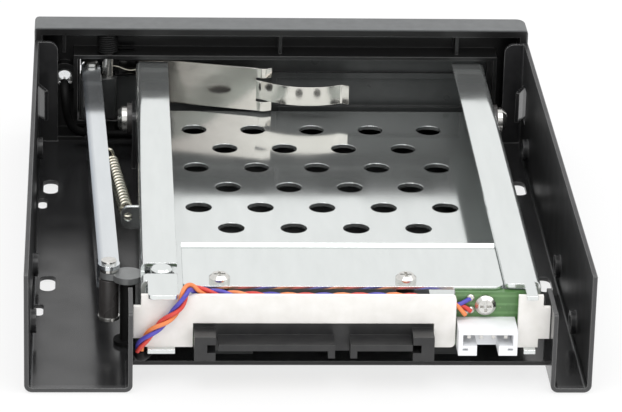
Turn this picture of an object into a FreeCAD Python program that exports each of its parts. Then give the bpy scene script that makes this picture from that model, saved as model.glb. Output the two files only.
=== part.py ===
import FreeCAD, Part
import math
import os

os.makedirs("parts", exist_ok=True)

V = FreeCAD.Vector
X_AXIS = V(1, 0, 0)
Y_AXIS = V(0, 1, 0)
Z_AXIS = V(0, 0, 1)

# Case: a folded steel tray for a 3.5 inch bay with a moulded front bezel.
# X is to the right seen from the back, Y points to the front, Z is up. Millimetres.
BAY_WIDTH = 101.6
TRAY_DEPTH = 121.4
TRAY_SHEET = 0.8
TRAY_WALL_HEIGHT = 22.6
TRAY_BEND = 1.4
LEG_LENGTH = 11.7
LEG_GAP = 1.45
LEG_FLANGE_HEIGHT = 15.2
LEG_FLANGE_LENGTH = 12.6
FRONT_FLANGE_WIDTH = 4.8
FRONT_FLANGE_RADIUS = 2.0

# Slots and holes of the tray, measured back from the bezel and in from the walls.
WIDE_SLOT_WIDTH = 2.9
WIDE_SLOT_LENGTH = 7.2
WIDE_SLOT_EDGE = 3.6
WIDE_SLOT_FIRST = 26.0
WIDE_SLOT_PITCH = 48.6
NARROW_SLOT_WIDTH = 1.7
NARROW_SLOT_LENGTH = 5.2
NARROW_SLOT_SHIFT = 1.5
NARROW_SLOT_FIRST = 34.8
NARROW_SLOT_PITCH = 52.2
SIDE_HOLE_RADIUS = 1.3
SIDE_HOLE_HEIGHT = 5.0
SIDE_HOLE_FIRST = 15.5
SIDE_HOLE_PITCH = 60.0
SIDE_HOLE_LAST = 101.5
SIDE_COLLAR_WALL = 0.9
SIDE_COLLAR_LENGTH = 1.1
LANCE_START = 3.0
LANCE_LENGTH = 4.9
LANCE_HEIGHT = 6.5
LANCE_LOW = 8.0
LANCE_ANGLE = 25.0
LANCE_SLIT = 0.35

# Perforated cage, as wide as the linkage on its left and the space on its right
# leave it. In this bay it takes a drive 69.85 wide with 0.55 play.
LINKAGE_SPACE = 20.75
RIGHT_SPACE = 8.85
DRIVE_HEIGHT = 9.5
TOP_PLAY = 0.5
CAGE_SHEET = 0.8
CAGE_LIFT = 6.1
CAGE_REACH = 1.2
CAGE_BEND = 1.2
LIP_WIDTH = 6.6
CAGE_WALL_END = 9.2
CAGE_TAB_END = 3.2
CAGE_TAB_LEFT = 5.4
CAGE_TAB_RIGHT = 2.6
CAGE_TAB_INSET = 0.7
LIP_END = 2.6
LIP_STEP = 3.2
LIP_STEP_END = 8.2
LIP_CORNER = 1.0
STUD_INSET = 3.75
STUD_BACK = 14.9
STUD_RADIUS = 1.2
STUD_HEAD_RADIUS = 2.0
STUD_HEAD = 1.1
STUD_NOTCH = 4.8
PERF_RADIUS = 2.55
PERF_PITCH = 12.05
PERF_FIRST = 10.7
PERF_ROWS = 6
PERF_COLUMNS = 5

# Cover over the sockets, at the back of the cage.
COVER_SHEET = 0.6
COVER_PLAY = 0.1
COVER_LENGTH = 18.2
COVER_END = 8.3
COVER_FLARE = 0.8
COVER_LEFT_GAP = 0.9
COVER_RIGHT_GAP = 0.25
COVER_CORNER = 1.6
COVER_SCREW_INSET = 4.65
COVER_SCREW_BACK = 2.6

# Boards and connectors, measured forward from the ends of the tray's legs.
PANEL_THICK = 1.0
PANEL_BACK = 4.4
PANEL_END_PLAY = 0.1
PANEL_EAR_LOW = 1.7
PANEL_EAR_DROP = 2.2
PANEL_CORNER = 0.8
LEAD_SPACE = 2.0
BOARD_THICK = 1.6
BOARD_INSET = 1.2
BOARD_TOP_PLAY = 0.1
BOARD_FOOT = 2.6
BOARD_LEFT_DROP = 2.6
PLUG_LEFT_SPACE = 9.45
PLUG_RIGHT_SPACE = 19.7
PLUG_LOW = 6.1
PLUG_HEIGHT = 5.3
PLUG_BASE = 2.7
PLUG_REACH = 4.5
PLUG_POST = 2.3
PLUG_KEY = 1.5
TONGUE_RISE = 1.9
TONGUE_THICK = 1.2
TONGUE_LEG = 1.4
TONGUE_INSET = 4.3
POWER_TONGUE_SHARE = 0.6
DATA_TONGUE_SHARE = 0.32
DATA_SHIFT = 0.4
CONTACT_MARGIN = 1.7
CONTACT_WIDTH = 0.8
CONTACT_THICK = 0.15
POWER_CONTACTS = 15
DATA_CONTACTS = 7
SOCKET_LENGTH = 14.6
SOCKET_HEIGHT = 6.6
SOCKET_SLOT_HEIGHT = 2.6
SOCKET_SLOT_DEPTH = 6.0
SOCKET_SLOT_PLAY = 0.4
BOSS_RADIUS = 1.7
BOSS_DEPTH = 4.6
HEADER_EDGE = 4.75
HEADER_WIDTH = 10.6
HEADER_LOW = 6.8
HEADER_HEIGHT = 4.8
HEADER_LENGTH = 6.4
HEADER_WALL = 0.8
HEADER_FLOOR = 1.9
HEADER_NOTCH = 3.9
HEADER_WINDOW = 0.9
HEADER_WINDOW_HEIGHT = 0.45
HEADER_PINS = 4
HEADER_PIN = 0.64
HEADER_PITCH = 2.2
WINDOW_PLAY = 0.3
BOARD_SCREW_EDGE = 10.2
BOARD_SCREW_RISE = 7.2

# Door, hinge and front bezel.
BEZEL_DEPTH = 7.6
BEZEL_HEIGHT = 25.4
BEZEL_WALL = 1.6
BEZEL_FACE = 1.8
BEZEL_FRAME = 0.8
BEZEL_CORNER = 2.0
BEZEL_LEFT_CORNER = 0.9
BEZEL_EDGE = 0.8
BEZEL_RIB = 0.7
BEZEL_RIBS = (6.05, 50.55, 87.1)
DOOR_THICK = 3.3
DOOR_GAP = 0.35
DOOR_RISE = 0.6
DOOR_OVERLAP = 1.45
DOOR_STOP = 1.0
DOOR_RIM = 1.2
DOOR_RIM_DEPTH = 0.8
DOOR_RIM_START = 28.1
DOOR_RIM_END = 3.0
DOOR_RIM_LOW = 0.4
DOOR_RIM_TOP = 3.7
ROLL_COVER = 0.2
FACE_GAP = 0.1
HINGE_OFFSET = 5.75
HINGE_FORWARD = 2.0
HINGE_PIN_RADIUS = 1.2
HINGE_FIT = 0.05
KNUCKLE_RADIUS = 1.92
HINGE_SPRING_RADIUS = 1.9
SPRING_WIRE = 0.25
SPRING_ROOM = 0.3
GRIP_WIDTH = 9.0
GRIP_HEIGHT = 7.6
GRIP_DEPTH = 1.5
GRIP_EDGE = 2.0
GRIP_RADIUS = 1.2
LEAF_SHEET = 0.4
LEAF_HEIGHT = 9.3
LEAF_FLAT = 5.0
LEAF_BEND = 5.0
LEAF_SLOPE = 14.0
LEAF_RAMP = 14.6
LEAF_TAB = 2.0
LEAF_TAB_BEND = 0.8
LEAF_TAB_DIP = 15.0
LEAF_TAB_CURL = 1.2
LEAF_TAB_TURN = 50.0
LEAF_TAB_END = 1.3
LEAF_TONGUE_HEIGHT = 4.0
LEAF_ROOT = 1.2
LEAF_ROOT_TURN = 22.0
LEAF_TONGUE_RUN = 1.5
LEAF_TONGUE_BOW = 15.5
LEAF_TONGUE_TURN = 62.0
LEAF_TIP_BEND = 0.8
LEAF_TIP_TURN = 50.0
LEAF_TIP = 1.4
LED_RADIUS = 1.5
LED_FLANGE = 0.4
LED_LENGTH = 4.6
LED_HEIGHT = 13.4
LED_FIT = 0.05
LED_SIDE_GAP = 0.45
LED_TIP_ROUND = 0.9
LED_PIN = 0.4
LED_PIN_PITCH = 1.27
LED_PIN_LENGTH = 3.0

# Eject linkage. The door's arm, the long link and the bell crank's short arm
# form a parallelogram, so the crank turns exactly as far as the door.
ARM_X = 3.45
ARM_Y = 1.0
CRANK_OFFSET = 2.25
CRANK_FRONT = 19.8
CRANK_THICK = 1.2
CRANK_HUB = 2.8
CRANK_CAP = 0.4
FINGER_LENGTH = 8.4
FINGER_WIDTH = 3.0
FINGER_PLAY = 0.3
FINGER_SWEEP = 9.4
LINK_WIDTH = 3.8
LINK_SHEET = 0.8
LINK_SIDE = 2.2
LINK_SKIRT = 8.0
LINK_EYE = 2.0
LINK_DROP = 0.7
LINK_FLAT_FRONT = 9.0
LINK_FLAT_BACK = 14.0
LINK_SKIRT_BACK = 9.0
PIVOT_RADIUS = 1.0
PIVOT_FIT = 0.05
PIN_HEAD_RADIUS = 1.4
PIN_HEAD = 0.6
PIN_COLLAR_RADIUS = 1.6
PIN_SEAT = 3.0
LAYER_GAP = 0.1
SLEEVE_RADIUS = 1.8
SLEEVE_FIT = 0.05
SLEEVE_RIM = 0.2
SLEEVE_LOW = 5.9
POST_RADIUS = 1.4
POST_FOOT = 2.6
POST_FOOT_HEIGHT = 0.8
TAB_BACK = 62.9
TAB_REACH = 3.3
TAB_FOOT = 0.4
TAB_HEIGHT = 4.6
TAB_ROUND = 1.6
TAB_HOLE = 0.8
TAB_HOLE_REACH = 1.95
TAB_HOLE_DROP = 2.1
SPRING_FRONT = 39.5
SPRING_RADIUS = 1.25
SPRING_END = 3.2
HOOK_WIRE = 0.2
COIL_TURNS = 16

# Fasteners and supports under and beside the cage.
EAR_LENGTH = 9.0
EAR_BACK = 11.5
EAR_RISE = 4.4
SCREW_RADIUS = 1.5
SCREW_HEAD_RADIUS = 2.6
SCREW_HEAD = 1.9
SCREW_FIT = 0.05
SMALL_SCREW_RADIUS = 1.0
SMALL_HEAD_RADIUS = 1.9
SMALL_HEAD = 1.3
WASHER_RADIUS = 3.2
WASHER_THICK = 1.0
CROSS_WIDTH = 0.5
CROSS_SPAN = 0.55
CROSS_DEPTH = 0.5
HEAD_ROUND = 0.45
BRIDGE_WIDTH = 9.0
BRIDGE_FLAT = 9.0
BRIDGE_RUN = 5.0
BRIDGE_FRONT = 24.4
BRIDGE_PITCH = 40.0
LEAD_RADIUS = 0.9
LEAD_AIR = 0.15
LEAD_INSET = 3.4
LEAD_SWAY = 1.0
LEAD_START = 3.6
LEAD_CROSS = 8.0
LEAD_DIP = 3.0
LEAD_RISE = 1.8
LEAD_PULL = 0.5
LEAD_SIDE = 0.5
LEAD_BEND_SHARE = 0.45

# Derived planes and lines.
FRONT = (TRAY_DEPTH + BEZEL_DEPTH) / 2
SEAM = FRONT - BEZEL_DEPTH
REAR = SEAM - TRAY_DEPTH
HALF = BAY_WIDTH / 2

CAGE_LEFT = LINKAGE_SPACE - HALF
CAGE_RIGHT = HALF - RIGHT_SPACE
CAGE_SHIFT = (CAGE_LEFT + CAGE_RIGHT) / 2
CAGE_FRONT = SEAM + CAGE_REACH
CAGE_FLOOR = CAGE_LIFT + CAGE_SHEET
LIP_LOW = CAGE_FLOOR + DRIVE_HEIGHT + TOP_PLAY
LIP_TOP = LIP_LOW + CAGE_SHEET
WALL_END = REAR + CAGE_WALL_END

LEG_LEFT = CAGE_LEFT - LEG_GAP
LEG_RIGHT = CAGE_RIGHT + LEG_GAP

PLUG_LEFT = CAGE_LEFT + PLUG_LEFT_SPACE
PLUG_RIGHT = CAGE_RIGHT - PLUG_RIGHT_SPACE
TONGUES = PLUG_RIGHT - PLUG_LEFT - TONGUE_INSET * 2 + DATA_SHIFT
POWER_TONGUE = TONGUES * POWER_TONGUE_SHARE
DATA_TONGUE = TONGUES * DATA_TONGUE_SHARE
CONTACT_PITCH = POWER_TONGUE / (POWER_CONTACTS + CONTACT_MARGIN)

PANEL_Y = REAR + PANEL_BACK
BOARD_Y = PANEL_Y + PANEL_THICK + LEAD_SPACE
SOCKET_Y = BOARD_Y + BOARD_THICK
COVER_LOW = CAGE_FLOOR + DRIVE_HEIGHT + COVER_PLAY
COVER_TOP = COVER_LOW + COVER_SHEET
COVER_BACK_Y = REAR + COVER_END
COVER_FRONT_Y = COVER_BACK_Y + COVER_LENGTH

HINGE_X = CAGE_LEFT - HINGE_OFFSET
HINGE_Y = SEAM + HINGE_FORWARD
DOOR_REACH = FRONT - HINGE_Y
ROLL_RADIUS = DOOR_REACH + ROLL_COVER
DOOR_LOW = CAGE_LIFT - DOOR_RISE
DOOR_TOP = LIP_TOP + DOOR_RISE
DOOR_RIGHT = CAGE_RIGHT + DOOR_OVERLAP
DOOR_INNER = FRONT - DOOR_THICK
FACE_LEFT = HINGE_X - DOOR_REACH - FACE_GAP
FRAME_LEFT = HINGE_X - ROLL_RADIUS - DOOR_GAP
FRAME_RIGHT = DOOR_RIGHT + DOOR_GAP
FRAME_LOW = DOOR_LOW - DOOR_GAP
FRAME_TOP = DOOR_TOP + DOOR_GAP
LED_X = FRAME_LEFT - BEZEL_FRAME - LED_RADIUS - LED_SIDE_GAP
LED_SEAT = FRONT - BEZEL_FACE - LED_LENGTH / 2

LINK_TOP = LIP_LOW - LINK_DROP
LINK_LOW = LINK_TOP - LINK_SHEET
CRANK_TOP = LINK_LOW - LAYER_GAP * 2 - PIN_HEAD
CRANK_LOW = CRANK_TOP - CRANK_THICK
ROLL_TOP = CRANK_TOP - LEAF_SHEET
FRONT_PIN = V(HINGE_X - ARM_X, HINGE_Y + ARM_Y, 0)
CRANK_X = CAGE_LEFT - CRANK_OFFSET
CRANK_Y = REAR + CRANK_FRONT
REAR_PIN = V(CRANK_X - ARM_X, CRANK_Y + ARM_Y, 0)


def box(x0, x1, y0, y1, z0, z1):
    return Part.makeBox(x1 - x0, y1 - y0, z1 - z0, V(x0, y0, z0))


def rod(x, y, z0, z1, radius):
    return Part.makeCylinder(radius, z1 - z0, V(x, y, z0), Z_AXIS)


def plate(points, z0, z1):
    wire = Part.makePolygon([V(x, y, z0) for x, y in points + points[:1]])
    return Part.Face(wire).extrude(V(0, 0, z1 - z0))


def slot(x, y, width, length, z0, z1):
    half = (length - width) / 2
    body = box(x - width / 2, x + width / 2, y - half, y + half, z0, z1)
    body = body.fuse(rod(x, y - half, z0, z1, width / 2))
    return body.fuse(rod(x, y + half, z0, z1, width / 2)).removeSplitter()


def bar(start, end, width, z0, z1):
    """Flat bar with round ends between two points seen from above."""
    along = V(end.x - start.x, end.y - start.y, 0)
    side = V(-along.y, along.x, 0).normalize() * (width / 2)
    corners = [start + side, end + side, end - side, start - side]
    body = plate([(p.x, p.y) for p in corners], z0, z1)
    body = body.fuse(rod(start.x, start.y, z0, z1, width / 2))
    return body.fuse(rod(end.x, end.y, z0, z1, width / 2)).removeSplitter()


def bent_strip(start, heading, moves, thick, z0, z1):
    """Strip on edge that follows (length, turn in degrees) moves seen from above, and its end."""
    point = V(start.x, start.y, z0)
    near_edges, far_edges = [], []
    caps = []
    for length, turn in moves:
        triple = []
        for share in (0, 0.5, 1):
            half = math.radians(turn * share) / 2
            chord = length * share * (math.sin(half) / half if half else 1)
            aim = math.radians(heading) + half
            at = point + V(math.cos(aim), math.sin(aim), 0) * chord
            face = aim + half
            out = V(-math.sin(face), math.cos(face), 0) * (thick / 2)
            triple.append((at - out, at + out, at))
        for edges, index in ((near_edges, 0), (far_edges, 1)):
            a, middle, b = (t[index] for t in triple)
            edges.append((Part.Arc(a, middle, b) if turn else Part.LineSegment(a, b)).toShape())
        caps += [triple[0], triple[2]]
        point = triple[2][2]
        heading += turn
    ends = [Part.LineSegment(cap[0], cap[1]).toShape() for cap in (caps[0], caps[-1])]
    wire = Part.Wire(Part.__sortEdges__(near_edges + far_edges + ends))
    return Part.Face(wire).extrude(V(0, 0, z1 - z0)), point, heading


def round_edges(shape, radius, wanted):
    chosen = [e for e in shape.Edges if wanted(e)]
    return shape.makeFillet(radius, chosen)


def runs_along(edge, axis):
    first = edge.Vertexes[0].Point
    last = edge.Vertexes[-1].Point
    along = last - first
    return along.Length > 1e-6 and abs(along.normalize().dot(axis)) > 0.999


def near(value, target):
    return abs(value - target) < 1e-4


def pan_screw(radius, head_radius, head, length):
    """Pan head screw, head upward from z = 0, shank downward."""
    body = Part.makeCylinder(head_radius, head)
    top = [e for e in body.Edges if near(e.BoundBox.ZMin, head) and near(e.BoundBox.ZMax, head)]
    body = body.makeChamfer(head * HEAD_ROUND, top)
    span = head_radius * CROSS_SPAN
    for turn in (0, 90):
        groove = box(-span, span, -CROSS_WIDTH / 2, CROSS_WIDTH / 2, head * CROSS_DEPTH, head + 1)
        groove.rotate(V(0, 0, 0), Z_AXIS, turn)
        body = body.cut(groove)
    return body.fuse(Part.makeCylinder(radius, length, V(0, 0, -length), Z_AXIS))


def place(shape, position, direction):
    turned = shape.copy()
    turned.Placement = FreeCAD.Placement(position, FreeCAD.Rotation(Z_AXIS, direction))
    return turned


def make_tray():
    outer = box(-HALF, HALF, REAR, SEAM, 0, TRAY_WALL_HEIGHT)
    outer = round_edges(outer, TRAY_BEND, lambda e: runs_along(e, Y_AXIS) and near(e.BoundBox.ZMax, 0))
    inner = box(-HALF + TRAY_SHEET, HALF - TRAY_SHEET, REAR - 1, SEAM + 1,
                TRAY_SHEET, TRAY_WALL_HEIGHT + 1)
    inner = round_edges(inner, TRAY_BEND - TRAY_SHEET,
                        lambda e: runs_along(e, Y_AXIS) and near(e.BoundBox.ZMax, TRAY_SHEET))
    tray = outer.cut(inner)

    notch = box(LEG_LEFT, LEG_RIGHT, REAR - 1, REAR + LEG_LENGTH, -1, TRAY_SHEET + 1)
    tray = tray.cut(notch)
    for inner_x, side in ((LEG_LEFT, -1), (LEG_RIGHT, 1)):
        low = min(inner_x, inner_x + side * TRAY_SHEET)
        flange = box(low, low + TRAY_SHEET, REAR, REAR + LEG_FLANGE_LENGTH, 0, LEG_FLANGE_HEIGHT)
        flange = round_edges(flange, TRAY_SHEET,
                             lambda e: runs_along(e, X_AXIS) and near(e.BoundBox.ZMin, LEG_FLANGE_HEIGHT))
        tray = tray.fuse(flange)
        bend_x = inner_x + side * TRAY_BEND
        corner = box(min(inner_x, bend_x), max(inner_x, bend_x), REAR, REAR + LEG_LENGTH, 0, TRAY_BEND)
        centre = V(bend_x, REAR, TRAY_BEND)
        bend = Part.makeCylinder(TRAY_BEND, LEG_LENGTH, centre, Y_AXIS)
        bend = bend.cut(Part.makeCylinder(TRAY_BEND - TRAY_SHEET, LEG_LENGTH, centre, Y_AXIS))
        tray = tray.cut(corner).fuse(bend.common(corner))

    for side in (-1, 1):
        tray = tray.fuse(front_flange(side)).fuse(cage_ear(side))
        tray = lance_wall(tray, side)
        tray = pierce_side(tray, side)
        tray = slot_floor(tray, side)
        tray = raise_bridge(tray, side)
    return tray.removeSplitter()


def front_flange(side):
    edge = side * (HALF - FRONT_FLANGE_WIDTH)
    x0, x1 = sorted((edge, side * HALF))
    flange = box(x0, x1, SEAM - TRAY_SHEET, SEAM, 0, TRAY_WALL_HEIGHT)
    flange = round_edges(flange, FRONT_FLANGE_RADIUS,
                         lambda e: runs_along(e, Y_AXIS) and near(e.BoundBox.ZMin, TRAY_WALL_HEIGHT)
                         and near(e.BoundBox.XMin, edge))
    return round_edges(flange, TRAY_BEND,
                       lambda e: runs_along(e, Y_AXIS) and near(e.BoundBox.ZMax, 0)
                       and near(e.BoundBox.XMin, side * HALF))


def cage_face(side):
    """Outer face of the cage on one side."""
    return CAGE_LEFT if side < 0 else CAGE_RIGHT


def ear_top():
    return CAGE_FLOOR + EAR_RISE + SCREW_HEAD_RADIUS / 2


def ear_height():
    return CAGE_FLOOR + EAR_RISE - SCREW_HEAD_RADIUS / 2


def cage_ear(side):
    face = cage_face(side)
    x0, x1 = sorted((face, face + side * TRAY_SHEET))
    y = SEAM - EAR_BACK
    ear = box(x0, x1, y - EAR_LENGTH / 2, y + EAR_LENGTH / 2, 0, ear_top())
    ear = round_edges(ear, TRAY_BEND,
                      lambda e: runs_along(e, X_AXIS) and near(e.BoundBox.ZMin, ear_top()))
    hole = Part.makeCylinder(SCREW_RADIUS + SCREW_FIT, TRAY_SHEET * 3,
                             V(x0 - TRAY_SHEET, y, ear_height()), X_AXIS)
    return ear.cut(hole)


def lance_wall(tray, side):
    y = SEAM - LANCE_START
    x0, x1 = sorted((side * HALF, side * (HALF - TRAY_SHEET)))
    window = box(x0 - 1, x1 + 1, y - LANCE_LENGTH - LANCE_SLIT, y,
                 LANCE_LOW - LANCE_SLIT, LANCE_LOW + LANCE_HEIGHT + LANCE_SLIT)
    tray = tray.cut(window)
    tab = box(x0, x1, y - LANCE_LENGTH, y + TRAY_SHEET / 2, LANCE_LOW, LANCE_LOW + LANCE_HEIGHT)
    tab.rotate(V(side * (HALF - TRAY_SHEET), y, 0), Z_AXIS, -side * LANCE_ANGLE)
    outside = box(x1, x1 + 9, y - 1, y + 9, 0, TRAY_WALL_HEIGHT)
    if side < 0:
        outside = box(x0 - 9, x0, y - 1, y + 9, 0, TRAY_WALL_HEIGHT)
    return tray.fuse(tab.cut(outside))


def pierce_side(tray, side):
    wall = side * (HALF - TRAY_SHEET)
    inward = V(-side, 0, 0)
    for back in (SIDE_HOLE_FIRST, SIDE_HOLE_FIRST + SIDE_HOLE_PITCH, SIDE_HOLE_LAST):
        point = V(wall, SEAM - back, SIDE_HOLE_HEIGHT)
        collar = Part.makeCylinder(SIDE_HOLE_RADIUS + SIDE_COLLAR_WALL, SIDE_COLLAR_LENGTH, point, inward)
        bore = Part.makeCylinder(SIDE_HOLE_RADIUS, SIDE_COLLAR_LENGTH + TRAY_SHEET * 3,
                                 point - inward * (TRAY_SHEET * 2), inward)
        tray = tray.fuse(collar).cut(bore)
    return tray


def slot_floor(tray, side):
    for step in (0, 1):
        y = SEAM - WIDE_SLOT_FIRST - step * WIDE_SLOT_PITCH
        tray = tray.cut(slot(side * (HALF - WIDE_SLOT_EDGE), y, WIDE_SLOT_WIDTH, WIDE_SLOT_LENGTH,
                             -1, TRAY_SHEET * 2))
        y = SEAM - NARROW_SLOT_FIRST - step * NARROW_SLOT_PITCH
        tray = tray.cut(slot(side * (HALF - WIDE_SLOT_EDGE) - NARROW_SLOT_SHIFT, y, NARROW_SLOT_WIDTH,
                             NARROW_SLOT_LENGTH, -1, TRAY_SHEET * 2))
    return tray


def bridge_x(side):
    return CAGE_SHIFT + side * BRIDGE_PITCH / 2


def raise_bridge(tray, side):
    """Strip of floor pressed up under the cage, open at both sides."""
    x0 = bridge_x(side) - BRIDGE_WIDTH / 2
    y = REAR + BRIDGE_FRONT
    flat = BRIDGE_FLAT / 2
    foot = flat + BRIDGE_RUN
    s = TRAY_SHEET
    top = [(-foot, s), (-flat, CAGE_LIFT), (flat, CAGE_LIFT), (foot, s)]
    under = [(foot, 0), (foot - s, 0), (flat - s / 2, CAGE_LIFT - s), (s / 2 - flat, CAGE_LIFT - s),
             (s - foot, 0), (-foot, 0)]
    points = [V(x0, y + dy, z) for dy, z in top + under]
    strip = Part.Face(Part.makePolygon(points + points[:1])).extrude(V(BRIDGE_WIDTH, 0, 0))
    hole = rod(bridge_x(side), y, CAGE_LIFT - s * 2, CAGE_LIFT + s, SCREW_RADIUS + SCREW_FIT)
    opening = box(x0, x0 + BRIDGE_WIDTH, y - foot, y + foot, -1, s * 2)
    return tray.cut(opening).fuse(strip.cut(hole))


def make_cage():
    s = CAGE_SHEET
    outer = box(CAGE_LEFT, CAGE_RIGHT, WALL_END, CAGE_FRONT, CAGE_LIFT, LIP_TOP)
    outer = round_edges(outer, CAGE_BEND, lambda e: runs_along(e, Y_AXIS))
    inner = box(CAGE_LEFT + s, CAGE_RIGHT - s, WALL_END - 1, CAGE_FRONT + 1, CAGE_FLOOR, LIP_LOW)
    inner = round_edges(inner, CAGE_BEND - s, lambda e: runs_along(e, Y_AXIS))
    mouth = box(CAGE_LEFT + LIP_WIDTH, CAGE_RIGHT - LIP_WIDTH, WALL_END - 1, CAGE_FRONT + 1,
                CAGE_FLOOR, LIP_TOP + 1)
    cage = outer.cut(inner).cut(mouth)

    for side, face, width in ((-1, CAGE_LEFT, CAGE_TAB_LEFT), (1, CAGE_RIGHT, CAGE_TAB_RIGHT)):
        tab = face - side * CAGE_TAB_INSET
        x0, x1 = sorted((tab, tab - side * width))
        cage = cage.fuse(box(max(x0, CAGE_LEFT + CAGE_BEND), min(x1, CAGE_RIGHT - CAGE_BEND),
                             REAR + CAGE_TAB_END, WALL_END, CAGE_LIFT, CAGE_FLOOR))
        cage = cage.fuse(rear_lip(side))
        ear_bore = Part.makeCylinder(SCREW_RADIUS + SCREW_FIT, s * 4,
                                     V(face - side * s * 2, SEAM - EAR_BACK, ear_height()),
                                     V(side, 0, 0))
        cage = cage.cut(ear_bore)
        cage = cage.cut(rod(bridge_x(side), REAR + BRIDGE_FRONT, CAGE_LIFT - s, CAGE_FLOOR + s,
                            SCREW_RADIUS + SCREW_FIT))

    stud = stud_point()
    cage = cage.cut(box(CAGE_LEFT - 1, CAGE_LEFT + LIP_WIDTH + 1, stud.y - STUD_NOTCH / 2,
                        stud.y + STUD_NOTCH / 2, LIP_LOW - s, LIP_TOP + 1))
    cage = cage.cut(perforation())
    finger = box(CAGE_LEFT - 1, CAGE_LEFT + s * 2, CRANK_Y - FINGER_WIDTH / 2 - FINGER_PLAY * 2,
                 CRANK_Y + FINGER_SWEEP, CRANK_LOW - FINGER_PLAY, CRANK_TOP + FINGER_PLAY)
    cage = cage.cut(finger)
    return add_spring_tab(cage).removeSplitter()


def rear_lip(side):
    """Lip that runs on behind the wall; the right one narrows round the board."""
    face = cage_face(side)
    back = REAR + LIP_END
    x0, x1 = sorted((face - side * CAGE_BEND, face - side * LIP_WIDTH))
    lip = box(x0, x1, back, WALL_END, LIP_LOW, LIP_TOP)
    if side > 0:
        step = REAR + LIP_STEP_END
        lip = box(x0, x1, step, WALL_END + LIP_CORNER, LIP_LOW, LIP_TOP)
        lip = round_edges(lip, LIP_CORNER, lambda e: runs_along(e, Z_AXIS) and near(e.BoundBox.YMin, step)
                          and near(e.BoundBox.XMin, x0))
        return lip.fuse(box(face - LIP_STEP, x1, back, step + LIP_CORNER, LIP_LOW, LIP_TOP))
    return round_edges(lip, LIP_CORNER, lambda e: runs_along(e, Z_AXIS) and near(e.BoundBox.YMin, back))


def perforation():
    holes = []
    row_pitch = PERF_PITCH * math.sin(math.radians(60))
    for row in range(PERF_ROWS):
        count = PERF_COLUMNS - row % 2
        for column in range(count):
            x = CAGE_SHIFT + (column - (count - 1) / 2) * PERF_PITCH
            y = CAGE_FRONT - PERF_FIRST - row * row_pitch
            holes.append(rod(x, y, CAGE_LIFT - 1, CAGE_FLOOR + 1, PERF_RADIUS))
    return Part.makeCompound(holes)


def tab_top():
    return CAGE_FLOOR + TAB_FOOT + TAB_HEIGHT


def tab_hole():
    return V(CAGE_LEFT - TAB_HOLE_REACH, SEAM - TAB_BACK, tab_top() - TAB_HOLE_DROP)


def add_spring_tab(cage):
    """Upright ear bent outward from the left wall, with the hole for the spring's hook."""
    s = CAGE_SHEET
    hole = tab_hole()
    low = CAGE_FLOOR + TAB_FOOT
    back = hole.y - s / 2
    window = box(CAGE_LEFT - 1, CAGE_LEFT + s, back + s, back + s + TAB_REACH, low, tab_top())
    ear = box(CAGE_LEFT - TAB_REACH, CAGE_LEFT + s, back, back + s, low, tab_top())
    ear = round_edges(ear, TAB_ROUND,
                      lambda e: runs_along(e, Y_AXIS) and near(e.BoundBox.XMin, CAGE_LEFT - TAB_REACH))
    bore = Part.makeCylinder(TAB_HOLE, s * 3, V(hole.x, back - s, hole.z), Y_AXIS)
    return cage.cut(window).fuse(ear).cut(bore)


def stud_point():
    return V(CAGE_LEFT + STUD_INSET, REAR + STUD_BACK, CAGE_FLOOR)


def make_stud():
    """Turned stud on the cage floor; its head stands in the notch of the left lip."""
    p = stud_point()
    head_top = LIP_TOP + STUD_HEAD / 4
    head = rod(p.x, p.y, head_top - STUD_HEAD, head_top, STUD_HEAD_RADIUS)
    top = [e for e in head.Edges if near(e.BoundBox.ZMin, head_top)]
    head = head.makeChamfer(STUD_HEAD / 3, top)
    return rod(p.x, p.y, p.z, head_top - STUD_HEAD / 2, STUD_RADIUS).fuse(head).removeSplitter()


def make_cover():
    """Flat plate over the sockets, between the lips, with a front edge flared up as a lead-in."""
    x0 = CAGE_LEFT + LIP_WIDTH + COVER_LEFT_GAP
    x1 = CAGE_RIGHT - LIP_WIDTH - COVER_RIGHT_GAP
    slope = COVER_SHEET * math.sin(math.radians(45))
    mitre = COVER_SHEET * math.tan(math.radians(22.5))
    front = COVER_FRONT_Y
    flare = COVER_FLARE
    section = [(COVER_BACK_Y, COVER_LOW), (front, COVER_LOW), (front + flare, COVER_LOW + flare),
               (front + flare - slope, COVER_LOW + flare + slope), (front - mitre, COVER_TOP),
               (COVER_BACK_Y, COVER_TOP)]
    points = [V(x0, y, z) for y, z in section]
    cover = Part.Face(Part.makePolygon(points + points[:1])).extrude(V(x1 - x0, 0, 0))
    cover = round_edges(cover, COVER_CORNER,
                        lambda e: runs_along(e, Z_AXIS) and near(e.BoundBox.YMin, COVER_BACK_Y))
    for side in (-1, 1):
        p = cover_screw_point(side)
        cover = cover.cut(rod(p.x, p.y, COVER_LOW - 1, COVER_TOP + 1, SMALL_SCREW_RADIUS + SCREW_FIT))
    return cover


def cover_screw_point(side):
    x = PLUG_LEFT + COVER_SCREW_INSET if side < 0 else PLUG_RIGHT - COVER_SCREW_INSET
    return V(x, COVER_BACK_Y + COVER_SCREW_BACK, COVER_TOP)


def make_cover_screws():
    length = COVER_SHEET + BOSS_DEPTH
    screw = pan_screw(SMALL_SCREW_RADIUS, SMALL_HEAD_RADIUS, SMALL_HEAD, length)
    return Part.makeCompound([place(screw, cover_screw_point(side), Z_AXIS) for side in (-1, 1)])


def tongue_spans():
    """X spans of the power tongue and the data tongue."""
    left = PLUG_LEFT + TONGUE_INSET
    right = PLUG_RIGHT - TONGUE_INSET + DATA_SHIFT
    return (left, left + POWER_TONGUE), (right - DATA_TONGUE, right)


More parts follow.
